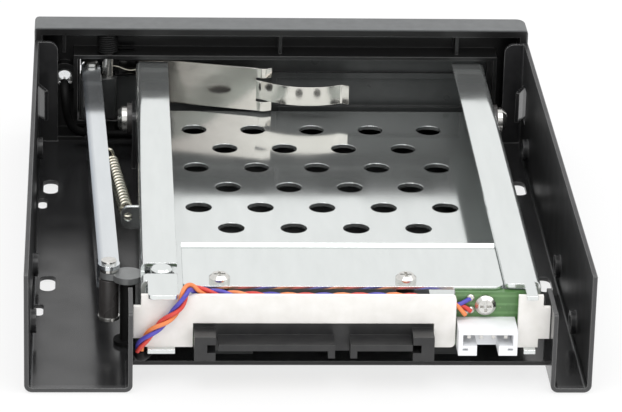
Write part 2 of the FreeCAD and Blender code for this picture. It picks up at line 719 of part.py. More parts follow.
def make_socket():
    """Socket that takes the drive's plug, with two bosses for the cover's screws."""
    low = CAGE_FLOOR
    top = low + SOCKET_HEIGHT
    front = SOCKET_Y + SOCKET_LENGTH
    body = box(PLUG_LEFT, PLUG_RIGHT, SOCKET_Y, front, low, top)
    body = round_edges(body, BEZEL_EDGE, lambda e: runs_along(e, Z_AXIS) and near(e.BoundBox.YMin, front))
    middle = (low + top) / 2
    for left, right in tongue_spans():
        body = body.cut(box(left - SOCKET_SLOT_PLAY, right + SOCKET_SLOT_PLAY, front - SOCKET_SLOT_DEPTH,
                            front + 1, middle - SOCKET_SLOT_HEIGHT / 2, middle + SOCKET_SLOT_HEIGHT / 2))
    for side in (-1, 1):
        p = cover_screw_point(side)
        body = body.fuse(rod(p.x, p.y, top - 1, COVER_LOW, BOSS_RADIUS))
        body = body.cut(rod(p.x, p.y, COVER_LOW - BOSS_DEPTH - SCREW_FIT, COVER_LOW + 1,
                            SMALL_SCREW_RADIUS + SCREW_FIT))
    return body.removeSplitter()


def make_board():
    x0 = CAGE_LEFT + BOARD_INSET
    x1 = CAGE_RIGHT - BOARD_INSET
    board = box(x0, x1, BOARD_Y, SOCKET_Y, CAGE_FLOOR, COVER_LOW - BOARD_TOP_PLAY)
    foot = box(PLUG_LEFT - BOARD_FOOT, CAGE_RIGHT - HEADER_EDGE, BOARD_Y, SOCKET_Y, PLUG_LOW, CAGE_FLOOR)
    board = board.fuse(foot)
    top = COVER_LOW - BOARD_TOP_PLAY
    board = board.cut(box(x0 - 1, header_span()[0] - WINDOW_PLAY, BOARD_Y - 1, SOCKET_Y + 1,
                          top - BOARD_LEFT_DROP, top + 1))
    p = board_screw_point()
    hole = Part.makeCylinder(SMALL_SCREW_RADIUS + SCREW_FIT, BOARD_THICK * 3,
                             V(p.x, p.y - BOARD_THICK, p.z), Y_AXIS)
    return board.cut(hole).removeSplitter()


def board_screw_point():
    return V(CAGE_RIGHT - BOARD_SCREW_EDGE, BOARD_Y, CAGE_FLOOR + BOARD_SCREW_RISE)


def make_board_screw():
    screw = pan_screw(SMALL_SCREW_RADIUS, SMALL_HEAD_RADIUS, SMALL_HEAD, BOARD_THICK)
    return place(screw, board_screw_point(), V(0, -1, 0))


def make_plug():
    """Plug on the back for the host cables: power tongue, data tongue and end posts."""
    top = PLUG_LOW + PLUG_HEIGHT
    face = BOARD_Y - PLUG_BASE
    end = face - PLUG_REACH
    body = box(PLUG_LEFT, PLUG_RIGHT, face, BOARD_Y, PLUG_LOW, top)
    for side, edge in ((1, PLUG_LEFT), (-1, PLUG_RIGHT)):
        a, b = sorted((edge, edge + side * PLUG_POST))
        body = body.fuse(box(a, b, end, face, PLUG_LOW, top - PLUG_KEY / 2))
        a, b = sorted((edge + side * PLUG_POST, edge + side * (PLUG_POST + PLUG_KEY)))
        body = body.fuse(box(a, b, end, face, PLUG_LOW, PLUG_LOW + PLUG_KEY))
        body = body.fuse(box(a, b, end, face, top - PLUG_KEY * 1.5, top - PLUG_KEY / 2))
    low = PLUG_LOW + TONGUE_RISE
    power, data = tongue_spans()
    for left, right in (power, data):
        body = body.fuse(box(left, right, end, face, low, low + TONGUE_THICK))
    body = body.fuse(box(power[1] - TONGUE_THICK, power[1], end, face, low - TONGUE_LEG, low))
    body = body.fuse(box(data[0], data[0] + TONGUE_THICK, end, face, low - TONGUE_LEG, low))
    return body.removeSplitter()


def make_contacts():
    low = PLUG_LOW + TONGUE_RISE - CONTACT_THICK
    face = BOARD_Y - PLUG_BASE
    end = face - PLUG_REACH
    power, data = tongue_spans()
    strips = []
    power_start = power[0] + CONTACT_PITCH
    data_start = data[0] + TONGUE_THICK + CONTACT_PITCH
    for start, count in ((power_start, POWER_CONTACTS), (data_start, DATA_CONTACTS)):
        for index in range(count):
            x = start + index * CONTACT_PITCH
            strips.append(box(x - CONTACT_WIDTH / 2, x + CONTACT_WIDTH / 2, end + CONTACT_WIDTH, face,
                              low, low + CONTACT_THICK))
    return Part.makeCompound(strips)


def header_span():
    right = CAGE_RIGHT - HEADER_EDGE
    return right - HEADER_WIDTH, right


def make_header():
    x0, x1 = header_span()
    back = BOARD_Y - HEADER_LENGTH
    top = HEADER_LOW + HEADER_HEIGHT
    body = box(x0, x1, back, BOARD_Y, HEADER_LOW, top)
    cavity = box(x0 + HEADER_WALL, x1 - HEADER_WALL, back - 1, BOARD_Y - HEADER_WALL * 2,
                 HEADER_LOW + HEADER_FLOOR, top - HEADER_WALL)
    middle = (x0 + x1) / 2
    notch = box(middle - HEADER_NOTCH / 2, middle + HEADER_NOTCH / 2, back - 1, BOARD_Y - HEADER_WALL * 2,
                HEADER_LOW - 1, HEADER_LOW + HEADER_FLOOR + HEADER_WALL)
    body = body.cut(cavity).cut(notch)
    z = HEADER_LOW + HEADER_FLOOR / 2
    for x in (x0 + HEADER_WALL, x1 - HEADER_WALL - HEADER_WINDOW):
        body = body.cut(box(x, x + HEADER_WINDOW, back - 1, back + HEADER_WALL, z, z + HEADER_WINDOW_HEIGHT))
    return body.cut(make_header_pins())


def make_header_pins():
    x0, x1 = header_span()
    z = HEADER_LOW + (HEADER_FLOOR + HEADER_HEIGHT - HEADER_WALL) / 2
    start = BOARD_Y - HEADER_LENGTH + HEADER_WALL * 2
    pins = []
    for index in range(HEADER_PINS):
        x = (x0 + x1) / 2 + (index - (HEADER_PINS - 1) / 2) * HEADER_PITCH
        pins.append(box(x - HEADER_PIN / 2, x + HEADER_PIN / 2, start, BOARD_Y,
                        z - HEADER_PIN / 2, z + HEADER_PIN / 2))
    return Part.makeCompound(pins)


def make_panel():
    """White insulating sheet behind the board, cut out round the plug."""
    left = LEG_LEFT + PANEL_END_PLAY
    right = header_span()[0] - WINDOW_PLAY
    body = box(left, right, PANEL_Y, PANEL_Y + PANEL_THICK, CAGE_FLOOR, LIP_LOW)
    body = round_edges(body, PANEL_CORNER,
                       lambda e: runs_along(e, Y_AXIS) and near(e.BoundBox.XMin, right))
    window = box(PLUG_LEFT - WINDOW_PLAY / 2, PLUG_RIGHT + WINDOW_PLAY / 2, PANEL_Y - 1,
                 PANEL_Y + PANEL_THICK + 1, 0, PLUG_LOW + PLUG_HEIGHT + WINDOW_PLAY / 2)
    ear_edge = CAGE_LEFT + CAGE_TAB_INSET
    under = box(left - 1, ear_edge, PANEL_Y - 1, PANEL_Y + PANEL_THICK + 1, 0, CAGE_FLOOR + PANEL_EAR_LOW)
    over = box(left - 1, CAGE_LEFT, PANEL_Y - 1, PANEL_Y + PANEL_THICK + 1,
               LIP_LOW - PANEL_EAR_DROP, LIP_TOP)
    return body.cut(window).cut(under).cut(over)


def make_panel_end():
    left = header_span()[1] + WINDOW_PLAY
    right = LEG_RIGHT - PANEL_END_PLAY
    body = box(left, right, PANEL_Y, PANEL_Y + PANEL_THICK, CAGE_FLOOR, LIP_LOW)
    ear_edge = CAGE_RIGHT - CAGE_TAB_INSET
    under = box(ear_edge, right + 1, PANEL_Y - 1, PANEL_Y + PANEL_THICK + 1, 0, CAGE_FLOOR + PANEL_EAR_LOW)
    over = box(CAGE_RIGHT, right + 1, PANEL_Y - 1, PANEL_Y + PANEL_THICK + 1,
               LIP_LOW - PANEL_EAR_DROP, LIP_TOP)
    return body.cut(under).cut(over)


def make_bezel():
    outer = box(-HALF, HALF, SEAM, FRONT, 0, BEZEL_HEIGHT)
    for edge_x, radius in ((-HALF, BEZEL_LEFT_CORNER), (HALF, BEZEL_CORNER)):
        outer = round_edges(outer, radius, lambda e: runs_along(e, Z_AXIS) and near(e.BoundBox.YMin, FRONT)
                            and near(e.BoundBox.XMin, edge_x))
    outer = round_edges(outer, BEZEL_EDGE,
                        lambda e: near(e.BoundBox.YMax, FRONT) and near(e.BoundBox.ZMin, e.BoundBox.ZMax))
    w = BEZEL_WALL
    back = FRONT - BEZEL_FACE
    hollow = box(-HALF + w, HALF - w, SEAM - 1, back, w, BEZEL_HEIGHT - w)
    bezel = outer.cut(hollow)

    f = BEZEL_FRAME
    frame = box(FRAME_LEFT - f, FRAME_RIGHT + f, SEAM, back, FRAME_LOW - f, FRAME_TOP + f)
    frame = frame.cut(box(FRAME_LEFT, FRAME_RIGHT, SEAM - 1, back, FRAME_LOW, FRAME_TOP))
    stop = box(FRAME_RIGHT - DOOR_STOP, FRAME_RIGHT + f, SEAM + w, DOOR_INNER - DOOR_GAP,
               FRAME_LOW - f, FRAME_TOP + f)
    bezel = bezel.fuse(frame).fuse(stop)
    opening = box(FACE_LEFT, FRAME_RIGHT, back - 1, FRONT + 1, FRAME_LOW, FRAME_TOP)
    bezel = bezel.cut(opening)

    top = BEZEL_HEIGHT - w
    for start in BEZEL_RIBS:
        x = start - HALF
        bezel = bezel.fuse(box(x - BEZEL_RIB / 2, x + BEZEL_RIB / 2, SEAM + w, back, FRAME_TOP + f, top))
    boss = rod(HINGE_X, HINGE_Y, w, FRAME_LOW, HINGE_PIN_RADIUS * 2)
    boss = boss.common(box(-HALF, HALF, SEAM, back, 0, BEZEL_HEIGHT))
    bezel = bezel.fuse(boss)
    bezel = bezel.cut(rod(HINGE_X, HINGE_Y, w, top, HINGE_PIN_RADIUS + HINGE_FIT))
    boss = Part.makeCylinder(LED_RADIUS * 2, LED_LENGTH / 2, V(LED_X, LED_SEAT, LED_HEIGHT), Y_AXIS)
    boss = boss.common(box(-HALF, FRAME_LEFT - f / 2, SEAM, back, 0, BEZEL_HEIGHT))
    bezel = bezel.fuse(boss)
    bore = Part.makeCylinder(LED_RADIUS + LED_FIT, BEZEL_DEPTH * 2, V(LED_X, SEAM, LED_HEIGHT), Y_AXIS)
    return bezel.cut(bore).removeSplitter()


def make_led():
    """Round indicator lamp, from its flange behind the face to the rounded tip in front."""
    body = Part.makeCylinder(LED_RADIUS, LED_LENGTH, V(LED_X, LED_SEAT, LED_HEIGHT), Y_AXIS)
    body = body.common(box(-HALF, HALF, REAR, FRONT - LED_TIP_ROUND / 2, 0, BEZEL_HEIGHT))
    tip = [e for e in body.Edges if near(e.BoundBox.YMin, body.BoundBox.YMax)]
    body = body.makeFillet(LED_TIP_ROUND, tip)
    flange = Part.makeCylinder(LED_RADIUS + LED_FLANGE, LED_FLANGE,
                               V(LED_X, LED_SEAT - LED_FLANGE, LED_HEIGHT), Y_AXIS)
    return body.fuse(flange).removeSplitter()


def make_led_pins():
    seat = LED_SEAT - LED_FLANGE
    pins = []
    for step in (-1, 0, 1):
        x = LED_X + step * LED_PIN_PITCH
        pins.append(box(x - LED_PIN / 2, x + LED_PIN / 2, seat - LED_PIN_LENGTH, seat,
                        LED_HEIGHT - LED_PIN / 2, LED_HEIGHT + LED_PIN / 2))
    return Part.makeCompound(pins)


def make_door():
    """Flap with a rolled edge round the hinge pin and a finger grip at its free end."""
    panel = box(HINGE_X, DOOR_RIGHT, DOOR_INNER, FRONT, DOOR_LOW, DOOR_TOP)
    panel = round_edges(panel, BEZEL_EDGE, lambda e: near(e.BoundBox.YMin, FRONT)
                        and e.BoundBox.XMax > HINGE_X + 1)
    roll = rod(HINGE_X, HINGE_Y, DOOR_LOW, ROLL_TOP, ROLL_RADIUS)
    roll = roll.common(box(-HALF, HALF, REAR, FRONT, 0, BEZEL_HEIGHT))
    roll = roll.cut(box(HINGE_X, HINGE_X + ROLL_RADIUS + 1, HINGE_Y - ROLL_RADIUS, FRONT + 1,
                        0, BEZEL_HEIGHT))
    roll = roll.cut(box(HINGE_X - ROLL_RADIUS, HINGE_X + 1, HINGE_Y - ROLL_RADIUS - 1,
                        HINGE_Y - KNUCKLE_RADIUS, 0, BEZEL_HEIGHT))
    knuckle = rod(HINGE_X, HINGE_Y, DOOR_LOW, ROLL_TOP, KNUCKLE_RADIUS)
    web = box(HINGE_X, HINGE_X + KNUCKLE_RADIUS, HINGE_Y, DOOR_INNER + 1, DOOR_LOW, ROLL_TOP)
    door = panel.fuse(roll).fuse(knuckle).fuse(web)
    clear = KNUCKLE_RADIUS + DOOR_GAP
    door = door.cut(box(HINGE_X - ROLL_RADIUS - 1, HINGE_X + clear, HINGE_Y - ROLL_RADIUS - 1,
                        FRONT - BEZEL_FACE, ROLL_TOP, DOOR_TOP + 1))
    door = door.cut(rod(HINGE_X, HINGE_Y, 0, BEZEL_HEIGHT, HINGE_PIN_RADIUS + HINGE_FIT))
    door = door.cut(rod(FRONT_PIN.x, FRONT_PIN.y, ROLL_TOP - PIN_SEAT, ROLL_TOP + 1,
                        PIVOT_RADIUS + PIVOT_FIT))

    middle = (DOOR_LOW + DOOR_TOP) / 2
    grip = box(DOOR_RIGHT - GRIP_EDGE - GRIP_WIDTH, DOOR_RIGHT - GRIP_EDGE, FRONT - GRIP_DEPTH, FRONT + 1,
               middle - GRIP_HEIGHT / 2, middle + GRIP_HEIGHT / 2)
    grip = round_edges(grip, GRIP_RADIUS, lambda e: runs_along(e, Y_AXIS)
                       or near(e.BoundBox.YMax, FRONT - GRIP_DEPTH))
    return door.cut(grip).fuse(door_rim()).removeSplitter()


def door_rim():
    """Low stiffening rim on the door's inner face, beside the leaf spring."""
    x0 = CAGE_LEFT + DOOR_RIM_START
    x1 = CAGE_RIGHT - DOOR_RIM_END
    z0 = DOOR_LOW + DOOR_RIM_LOW
    z1 = DOOR_TOP - DOOR_RIM_TOP
    y = DOOR_INNER - DOOR_RIM_DEPTH
    rim = box(x0, x1, y, DOOR_INNER, z0, z1)
    return rim.cut(box(x0 + DOOR_RIM, x1 - DOOR_RIM, y - 1, DOOR_INNER + 1, z0 + DOOR_RIM, z1 - DOOR_RIM))


def make_hinge_pin():
    return rod(HINGE_X, HINGE_Y, BEZEL_WALL, BEZEL_HEIGHT - BEZEL_WALL, HINGE_PIN_RADIUS)


def coil_rings(turns, pitch, outer):
    """Wound wire as a stack of ridged rings about Z."""
    profile = []
    for turn in range(turns):
        z = pitch * turn
        profile += [V(outer - SPRING_WIRE, 0, z), V(outer, 0, z + pitch / 2)]
    top = pitch * turns
    bore = outer - SPRING_WIRE * 2
    profile += [V(outer - SPRING_WIRE, 0, top), V(bore, 0, top), V(bore, 0, 0)]
    return Part.Face(Part.makePolygon(profile + profile[:1])).revolve(V(0, 0, 0), Z_AXIS, 360)


def make_hinge_spring():
    """Close wound torsion spring on the pin, above the door, with one leg at the back."""
    low = FRAME_TOP + BEZEL_FRAME
    room = BEZEL_HEIGHT - BEZEL_WALL - SPRING_ROOM - low
    turns = int(room / (SPRING_WIRE * 2))
    coil = coil_rings(turns, SPRING_WIRE * 2, HINGE_SPRING_RADIUS + SPRING_WIRE)
    foot = V(HINGE_X, HINGE_Y + HINGE_SPRING_RADIUS, low + SPRING_WIRE)
    leg = Part.makeCylinder(HOOK_WIRE, ROLL_RADIUS, foot, X_AXIS)
    return coil.translated(V(HINGE_X, HINGE_Y, low)).fuse(leg)


def leaf_levels():
    low = LIP_LOW - LEAF_HEIGHT
    return low, LIP_LOW


def make_leaf():
    """Steel spring on the door: plate with two short tabs, a long bowed tongue and the link's arm."""
    low, top = leaf_levels()
    x0 = CAGE_LEFT + CAGE_SHEET
    y = DOOR_INNER
    s = LEAF_SHEET
    arm_strip = box(HINGE_X + KNUCKLE_RADIUS + DOOR_GAP, x0, y - s, y, ROLL_TOP + s, top)
    moves = [(LEAF_FLAT, 0), (LEAF_BEND, -LEAF_SLOPE), (LEAF_RAMP, 0)]
    leaf, end, heading = bent_strip(V(x0, y - s / 2, 0), 0, moves, s, low, top)
    leaf = leaf.fuse(arm_strip)
    curl = [(LEAF_TAB_BEND, -LEAF_TAB_DIP), (LEAF_TAB_CURL, LEAF_TAB_TURN), (LEAF_TAB_END, 0)]
    for z0 in (low, top - LEAF_TAB):
        leaf = leaf.fuse(bent_strip(end, heading, curl, s, z0, z0 + LEAF_TAB)[0])
    z0 = (low + top) / 2 - LEAF_TONGUE_HEIGHT / 2
    moves = [(LEAF_ROOT, -LEAF_ROOT_TURN), (LEAF_TONGUE_RUN, 0), (LEAF_TONGUE_BOW, LEAF_TONGUE_TURN),
             (LEAF_TIP_BEND, -LEAF_TIP_TURN), (LEAF_TIP, 0)]
    leaf = leaf.fuse(bent_strip(end, heading, moves, s, z0, z0 + LEAF_TONGUE_HEIGHT)[0])

    corners = [(FRONT_PIN.x, FRONT_PIN.y - PIN_COLLAR_RADIUS), (FRONT_PIN.x, FRONT_PIN.y + PIN_COLLAR_RADIUS),
               (HINGE_X, y), (x0, y), (x0, y - PIN_COLLAR_RADIUS)]
    arm = plate(corners, ROLL_TOP, CRANK_TOP)
    arm = arm.fuse(rod(FRONT_PIN.x, FRONT_PIN.y, ROLL_TOP, CRANK_TOP, PIN_COLLAR_RADIUS))
    arm = arm.cut(rod(HINGE_X, HINGE_Y, ROLL_TOP - 1, CRANK_TOP + 1, HINGE_PIN_RADIUS + DOOR_GAP))
    arm = arm.cut(rod(FRONT_PIN.x, FRONT_PIN.y, ROLL_TOP - 1, CRANK_TOP + 1, PIVOT_RADIUS + PIVOT_FIT))
    return leaf.fuse(arm).removeSplitter()


def make_front_pin():
    x, y = FRONT_PIN.x, FRONT_PIN.y
    pin = rod(x, y, ROLL_TOP - PIN_SEAT, LINK_TOP + LAYER_GAP, PIVOT_RADIUS)
    pin = pin.fuse(rod(x, y, CRANK_TOP, LINK_LOW - LAYER_GAP, PIN_COLLAR_RADIUS))
    head = LINK_TOP + LAYER_GAP
    return pin.fuse(rod(x, y, head, head + PIN_HEAD, PIN_HEAD_RADIUS)).removeSplitter()


def link_point(back):
    """Point on the link's centre line at a distance behind the bezel."""
    share = (FRONT_PIN.y - SEAM + back) / (FRONT_PIN.y - REAR_PIN.y)
    return FRONT_PIN + (REAR_PIN - FRONT_PIN) * share


def make_link():
    """Long pressed strap: channel section with flat eyes at both ends."""
    link = bar(FRONT_PIN, REAR_PIN, LINK_WIDTH, LINK_LOW, LINK_TOP)
    for pin in (FRONT_PIN, REAR_PIN):
        link = link.fuse(rod(pin.x, pin.y, LINK_LOW, LINK_TOP, LINK_EYE))
    along = (REAR_PIN - FRONT_PIN).normalize()
    start = FRONT_PIN + along * LINK_FLAT_FRONT
    across = V(-along.y, along.x, 0)
    for side, depth, flat in ((-1, LINK_SKIRT, LINK_SKIRT_BACK), (1, LINK_SIDE, LINK_FLAT_BACK)):
        end = REAR_PIN - along * flat
        low = LINK_LOW - depth
        a = start + across * (side * (LINK_WIDTH / 2 - LINK_SHEET))
        b = end + across * (side * (LINK_WIDTH / 2 - LINK_SHEET))
        out = across * (side * LINK_SHEET)
        link = link.fuse(plate([(p.x, p.y) for p in (a, b, b + out, a + out)], low, LINK_TOP))
    for pin in (FRONT_PIN, REAR_PIN):
        link = link.cut(rod(pin.x, pin.y, LINK_LOW - 1, LINK_TOP + 1, PIVOT_RADIUS + PIVOT_FIT))
    p = spring_front()
    hole = Part.makeCylinder(SPRING_WIRE * 2, LINK_SHEET * 4, V(p.x - LINK_SHEET * 3, p.y, p.z), X_AXIS)
    return link.cut(hole).removeSplitter()


def make_rear_pin():
    x, y = REAR_PIN.x, REAR_PIN.y
    pin = rod(x, y, SLEEVE_LOW, LINK_TOP, PIVOT_RADIUS)
    pin = pin.fuse(rod(x, y, LINK_TOP, LINK_TOP + PIN_HEAD, PIN_HEAD_RADIUS))
    pin = pin.fuse(rod(x, y, CRANK_TOP + LAYER_GAP, LINK_LOW, PIN_COLLAR_RADIUS))
    rim = rod(x, y, SLEEVE_LOW - PIN_HEAD, SLEEVE_LOW, SLEEVE_RADIUS + SLEEVE_RIM)
    return pin.fuse(rim).removeSplitter()


def make_sleeve():
    x, y = REAR_PIN.x, REAR_PIN.y
    sleeve = rod(x, y, SLEEVE_LOW, CRANK_LOW - LAYER_GAP * 2, SLEEVE_RADIUS)
    return sleeve.cut(rod(x, y, SLEEVE_LOW - 1, CRANK_LOW + 1, PIVOT_RADIUS + SLEEVE_FIT))


def make_crank():
    """Bell crank: short arm to the link, long finger through the cage wall behind the drive."""
    pivot = V(CRANK_X, CRANK_Y, 0)
    crank = bar(pivot, REAR_PIN, PIN_COLLAR_RADIUS * 2, CRANK_LOW, CRANK_TOP)
    crank = crank.fuse(rod(pivot.x, pivot.y, CRANK_LOW, CRANK_TOP, CRANK_HUB))
    tip = pivot + V(FINGER_LENGTH - FINGER_WIDTH / 2, 0, 0)
    crank = crank.fuse(bar(pivot, tip, FINGER_WIDTH, CRANK_LOW, CRANK_TOP))
    crank = crank.cut(rod(REAR_PIN.x, REAR_PIN.y, CRANK_LOW - 1, CRANK_TOP + 1, PIVOT_RADIUS + PIVOT_FIT))
    seat = rod(pivot.x, pivot.y, CRANK_LOW - 1, CRANK_TOP - CRANK_CAP, PIVOT_RADIUS + PIVOT_FIT)
    return crank.cut(seat).removeSplitter()


def make_post():
    """Turned pivot post riveted to the tray's floor; its spigot stands in the crank's blind hole."""
    low = TRAY_SHEET
    post = rod(CRANK_X, CRANK_Y, low, CRANK_LOW - LAYER_GAP, POST_RADIUS)
    post = post.fuse(rod(CRANK_X, CRANK_Y, low, low + POST_FOOT_HEIGHT, POST_FOOT))
    spigot = rod(CRANK_X, CRANK_Y, low, CRANK_TOP - CRANK_CAP - LAYER_GAP, PIVOT_RADIUS)
    return post.fuse(spigot).removeSplitter()


def spring_front():
    p = link_point(SPRING_FRONT)
    return V(p.x + LINK_WIDTH / 2, p.y, LINK_LOW - LINK_SIDE / 2)


def make_return_spring():
    """Tension spring from the link's side to the ear on the cage."""
    start = spring_front() + V(SPRING_RADIUS, 0, 0)
    inner = SPRING_RADIUS - SPRING_WIRE
    end = tab_hole() - V(inner, CAGE_SHEET, 0)
    along = (end - start)
    length = along.Length
    along.normalize()
    coil = length - SPRING_END * 2
    pitch = coil / COIL_TURNS
    body = coil_rings(COIL_TURNS, pitch, SPRING_RADIUS).translated(V(0, 0, SPRING_END))
    for z0, z1 in ((0, SPRING_END + pitch), (SPRING_END + coil - pitch, length)):
        body = body.fuse(Part.makeCylinder(HOOK_WIRE, z1 - z0, V(inner, 0, z0), Z_AXIS))
    return place(body, start, along)


def make_side_screws():
    screws = []
    for side in (-1, 1):
        face = cage_face(side) + side * (TRAY_SHEET + WASHER_THICK)
        screw = pan_screw(SCREW_RADIUS, SCREW_HEAD_RADIUS, SCREW_HEAD,
                          WASHER_THICK + TRAY_SHEET + CAGE_SHEET)
        screws.append(place(screw, V(face, SEAM - EAR_BACK, ear_height()), V(side, 0, 0)))
    return Part.makeCompound(screws)


def make_side_washers():
    washers = []
    for side in (-1, 1):
        face = V(cage_face(side) + side * TRAY_SHEET, SEAM - EAR_BACK, ear_height())
        ring = Part.makeCylinder(WASHER_RADIUS, WASHER_THICK, face, V(side, 0, 0))
        bore = Part.makeCylinder(SCREW_RADIUS + SCREW_FIT, WASHER_THICK, face, V(side, 0, 0))
        washers.append(ring.cut(bore))
    return Part.makeCompound(washers)


def make_floor_screws():
    screw = pan_screw(SCREW_RADIUS, SCREW_HEAD_RADIUS, SCREW_HEAD, TRAY_SHEET + CAGE_SHEET)
    screws = []
    for side in (-1, 1):
        seat = V(bridge_x(side), REAR + BRIDGE_FRONT, CAGE_LIFT - TRAY_SHEET)
        screws.append(place(screw, seat, V(0, 0, -1)))
    return Part.makeCompound(screws)


def lead_points():
    """Centre line of the indicator's twisted lead, from the lamp to the board."""
    low = (TRAY_SHEET + CAGE_LIFT) / 2
    under = CAGE_LEFT + LEAD_INSET
    sway = LEAD_SWAY
    pins = LED_SEAT - LED_FLANGE - LED_PIN_LENGTH
    turn = pins - LEAD_START
    behind = PANEL_Y - LEAD_RADIUS - LEAD_AIR
    trough = PANEL_Y + PANEL_THICK + LEAD_SPACE / 2
    level = LIP_LOW - sway
    corner = CAGE_LEFT + LIP_WIDTH - LEAD_PULL
    run = (WALL_END - SEAM) / 2
    end = board_screw_point()
    return [
        V(LED_X, pins, LED_HEIGHT),
        V(LED_X, turn, LED_HEIGHT),
        V(LED_X + sway, turn - sway, low + sway),
        V(LED_X + LEAD_CROSS, turn, low),
        V(under - sway, turn - sway, low),
        V(under, SEAM + run, low),
        V(under - sway, WALL_END + sway * 2, low),
        V(CAGE_LEFT - LEAD_SIDE, behind + sway / 2, CAGE_LIFT - sway * 1.5),
        V(CAGE_LEFT - LEAD_SIDE / 2, behind, CAGE_FLOOR + sway * 1.5),
        V(corner + sway, behind, LIP_LOW - LEAD_RISE),
        V(corner + sway * 2, PANEL_Y + PANEL_THICK / 2, LIP_LOW + LEAD_RADIUS + LEAD_AIR * 3),
        V(corner + LEAD_DIP * 2, trough, level + sway / 2),
        V(CAGE_SHIFT - LEAD_DIP, trough, level),
        V(end.x - LEAD_CROSS, trough, level + sway / 4),
        V(end.x - SMALL_HEAD_RADIUS - LEAD_AIR * 4, trough, end.z - sway),
    ]


def make_lead():
    points = lead_points()
    radii = []
    edges = []
    last = points[0]
    for before, corner, after in zip(points, points[1:], points[2:]):
        a = (before - corner)
        b = (after - corner)
        run = min(a.Length, b.Length) * LEAD_BEND_SHARE
        a.normalize()
        b.normalize()
        angle = math.acos(max(-1, min(1, a.dot(b))))
        radius = run * math.tan(angle / 2)
        radii.append(round(radius, 1))
        first = corner + a * run
        second = corner + b * run
        centre = corner + (a + b).normalize() * (run / math.cos(angle / 2))
        middle = centre + (corner - centre).normalize() * radius
        edges.append(Part.LineSegment(last, first).toShape())
        edges.append(Part.Arc(first, middle, second).toShape())
        last = second
    edges.append(Part.LineSegment(last, points[-1]).toShape())
    path = Part.Wire(edges)
    start = points[1] - points[0]
    circle = Part.Wire(Part.makeCircle(LEAD_RADIUS, points[0], start))
    lead = path.makePipeShell([circle], True, False)
    print("lead radii", radii, "length", round(path.Length, 1),
          "volume ratio", round(lead.Volume / (math.pi * LEAD_RADIUS ** 2 * path.Length), 4))
    return lead


PIECES = {
    "tray": make_tray,
    "drive_cage": make_cage,
    "socket_cover": make_cover,
    "lip_stud": make_stud,
    "cover_screws": make_cover_screws,
    "drive_socket": make_socket,
    "backplane_board": make_board,
    "board_screw": make_board_screw,
    "host_plug": make_plug,
    "host_plug_contacts": make_contacts,
    "power_header": make_header,
    "power_header_pins": make_header_pins,
    "insulator_panel": make_panel,
    "insulator_end": make_panel_end,
    "front_bezel": make_bezel,
    "indicator_lamp": make_led,
    "indicator_pins": make_led_pins,
    "indicator_lead": make_lead,
    "front_door": make_door,
    "hinge_pin": make_hinge_pin,
    "hinge_spring": make_hinge_spring,
    "leaf_spring": make_leaf,
    "link_front_pin": make_front_pin,
    "eject_link": make_link,
    "link_rear_pin": make_rear_pin,
    "pin_sleeve": make_sleeve,
    "eject_crank": make_crank,
    "crank_post": make_post,
    "return_spring": make_return_spring,
    "side_screws": make_side_screws,
    "side_washers": make_side_washers,
    "floor_screws": make_floor_screws,
}

for name, make in PIECES.items():
    shape = make()
    print(name, "solids", len(shape.Solids), "valid", shape.isValid(), "volume", round(shape.Volume, 1))
    shape.exportStep("parts/" + name + ".step")
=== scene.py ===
import bpy
import math
from mathutils import Matrix, Vector


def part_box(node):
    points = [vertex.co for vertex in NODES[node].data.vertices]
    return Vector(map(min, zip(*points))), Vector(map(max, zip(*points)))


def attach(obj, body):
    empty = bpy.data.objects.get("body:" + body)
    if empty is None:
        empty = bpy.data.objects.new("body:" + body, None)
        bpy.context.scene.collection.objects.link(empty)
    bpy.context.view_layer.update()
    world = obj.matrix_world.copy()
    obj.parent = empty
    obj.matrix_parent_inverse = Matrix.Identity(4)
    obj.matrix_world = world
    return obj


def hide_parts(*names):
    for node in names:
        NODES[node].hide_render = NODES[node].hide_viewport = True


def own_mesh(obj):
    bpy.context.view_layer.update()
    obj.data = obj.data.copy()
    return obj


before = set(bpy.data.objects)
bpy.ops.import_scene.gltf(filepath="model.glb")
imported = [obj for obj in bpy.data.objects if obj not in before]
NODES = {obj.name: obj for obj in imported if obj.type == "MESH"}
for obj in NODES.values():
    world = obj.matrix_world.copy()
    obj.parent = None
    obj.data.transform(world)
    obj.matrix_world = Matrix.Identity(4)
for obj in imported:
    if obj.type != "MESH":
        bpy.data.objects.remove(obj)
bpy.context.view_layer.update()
MM = 0.001

# Camera fitted to the photograph, in millimetres, degrees and pixels.
IMAGE_WIDTH = 622
FOCAL_PIXELS = 3847.7
SENSOR_WIDTH = 36.0
CAMERA_AT = (-38.24, -687.28, 292.11)
CAMERA_PITCH = 22.313
CAMERA_YAW = 3.468
CAMERA_ROLL = 1.508

# Studio, in metres and watts. Each lamp has a name, a place, a width and a power.
CAMERA_REACH = 20.0
SKY_STRENGTH = 0.95
LAMPS = (("key", (-0.1, -0.52, 1.28), 1.0, 6.5), ("fill", (0.9, -0.3, 0.9), 0.8, 2.5))
FLOOR_HALF = 3.0
FLOOR_LEVEL = -0.0002
# Share of plain white in the floor, as the camera and reflections see it.
FLOOR_GLOW = 0.75

# Route of the indicator's lead, in millimetres.
LEAD_ROUTE = (
    (-44.7, 57.0, 13.4), (-44.7, 53.4, 13.4), (-43.7, 52.4, 4.45), (-36.7, 53.4, 3.45),
    (-32.5, 53.6, 3.45), (-27.2, 52.5, 3.45), (-26.7, 47.0, 3.45), (-26.65, 0.8, 3.45),
    (-27.65, -53.3, 3.45), (-30.55, -60.65, 4.6), (-30.3, -61.15, 8.4), (-23.9, -61.2, 14.0),
    (-22.5, -61.45, 17.05), (-21.8, -59.5, 18.7), (-19.8, -57.6, 16.6), (-12.0, -58.0, 15.9),
    (2.95, -58.1, 15.75), (23.75, -58.1, 16.0), (28.8, -58.1, 13.1),
)
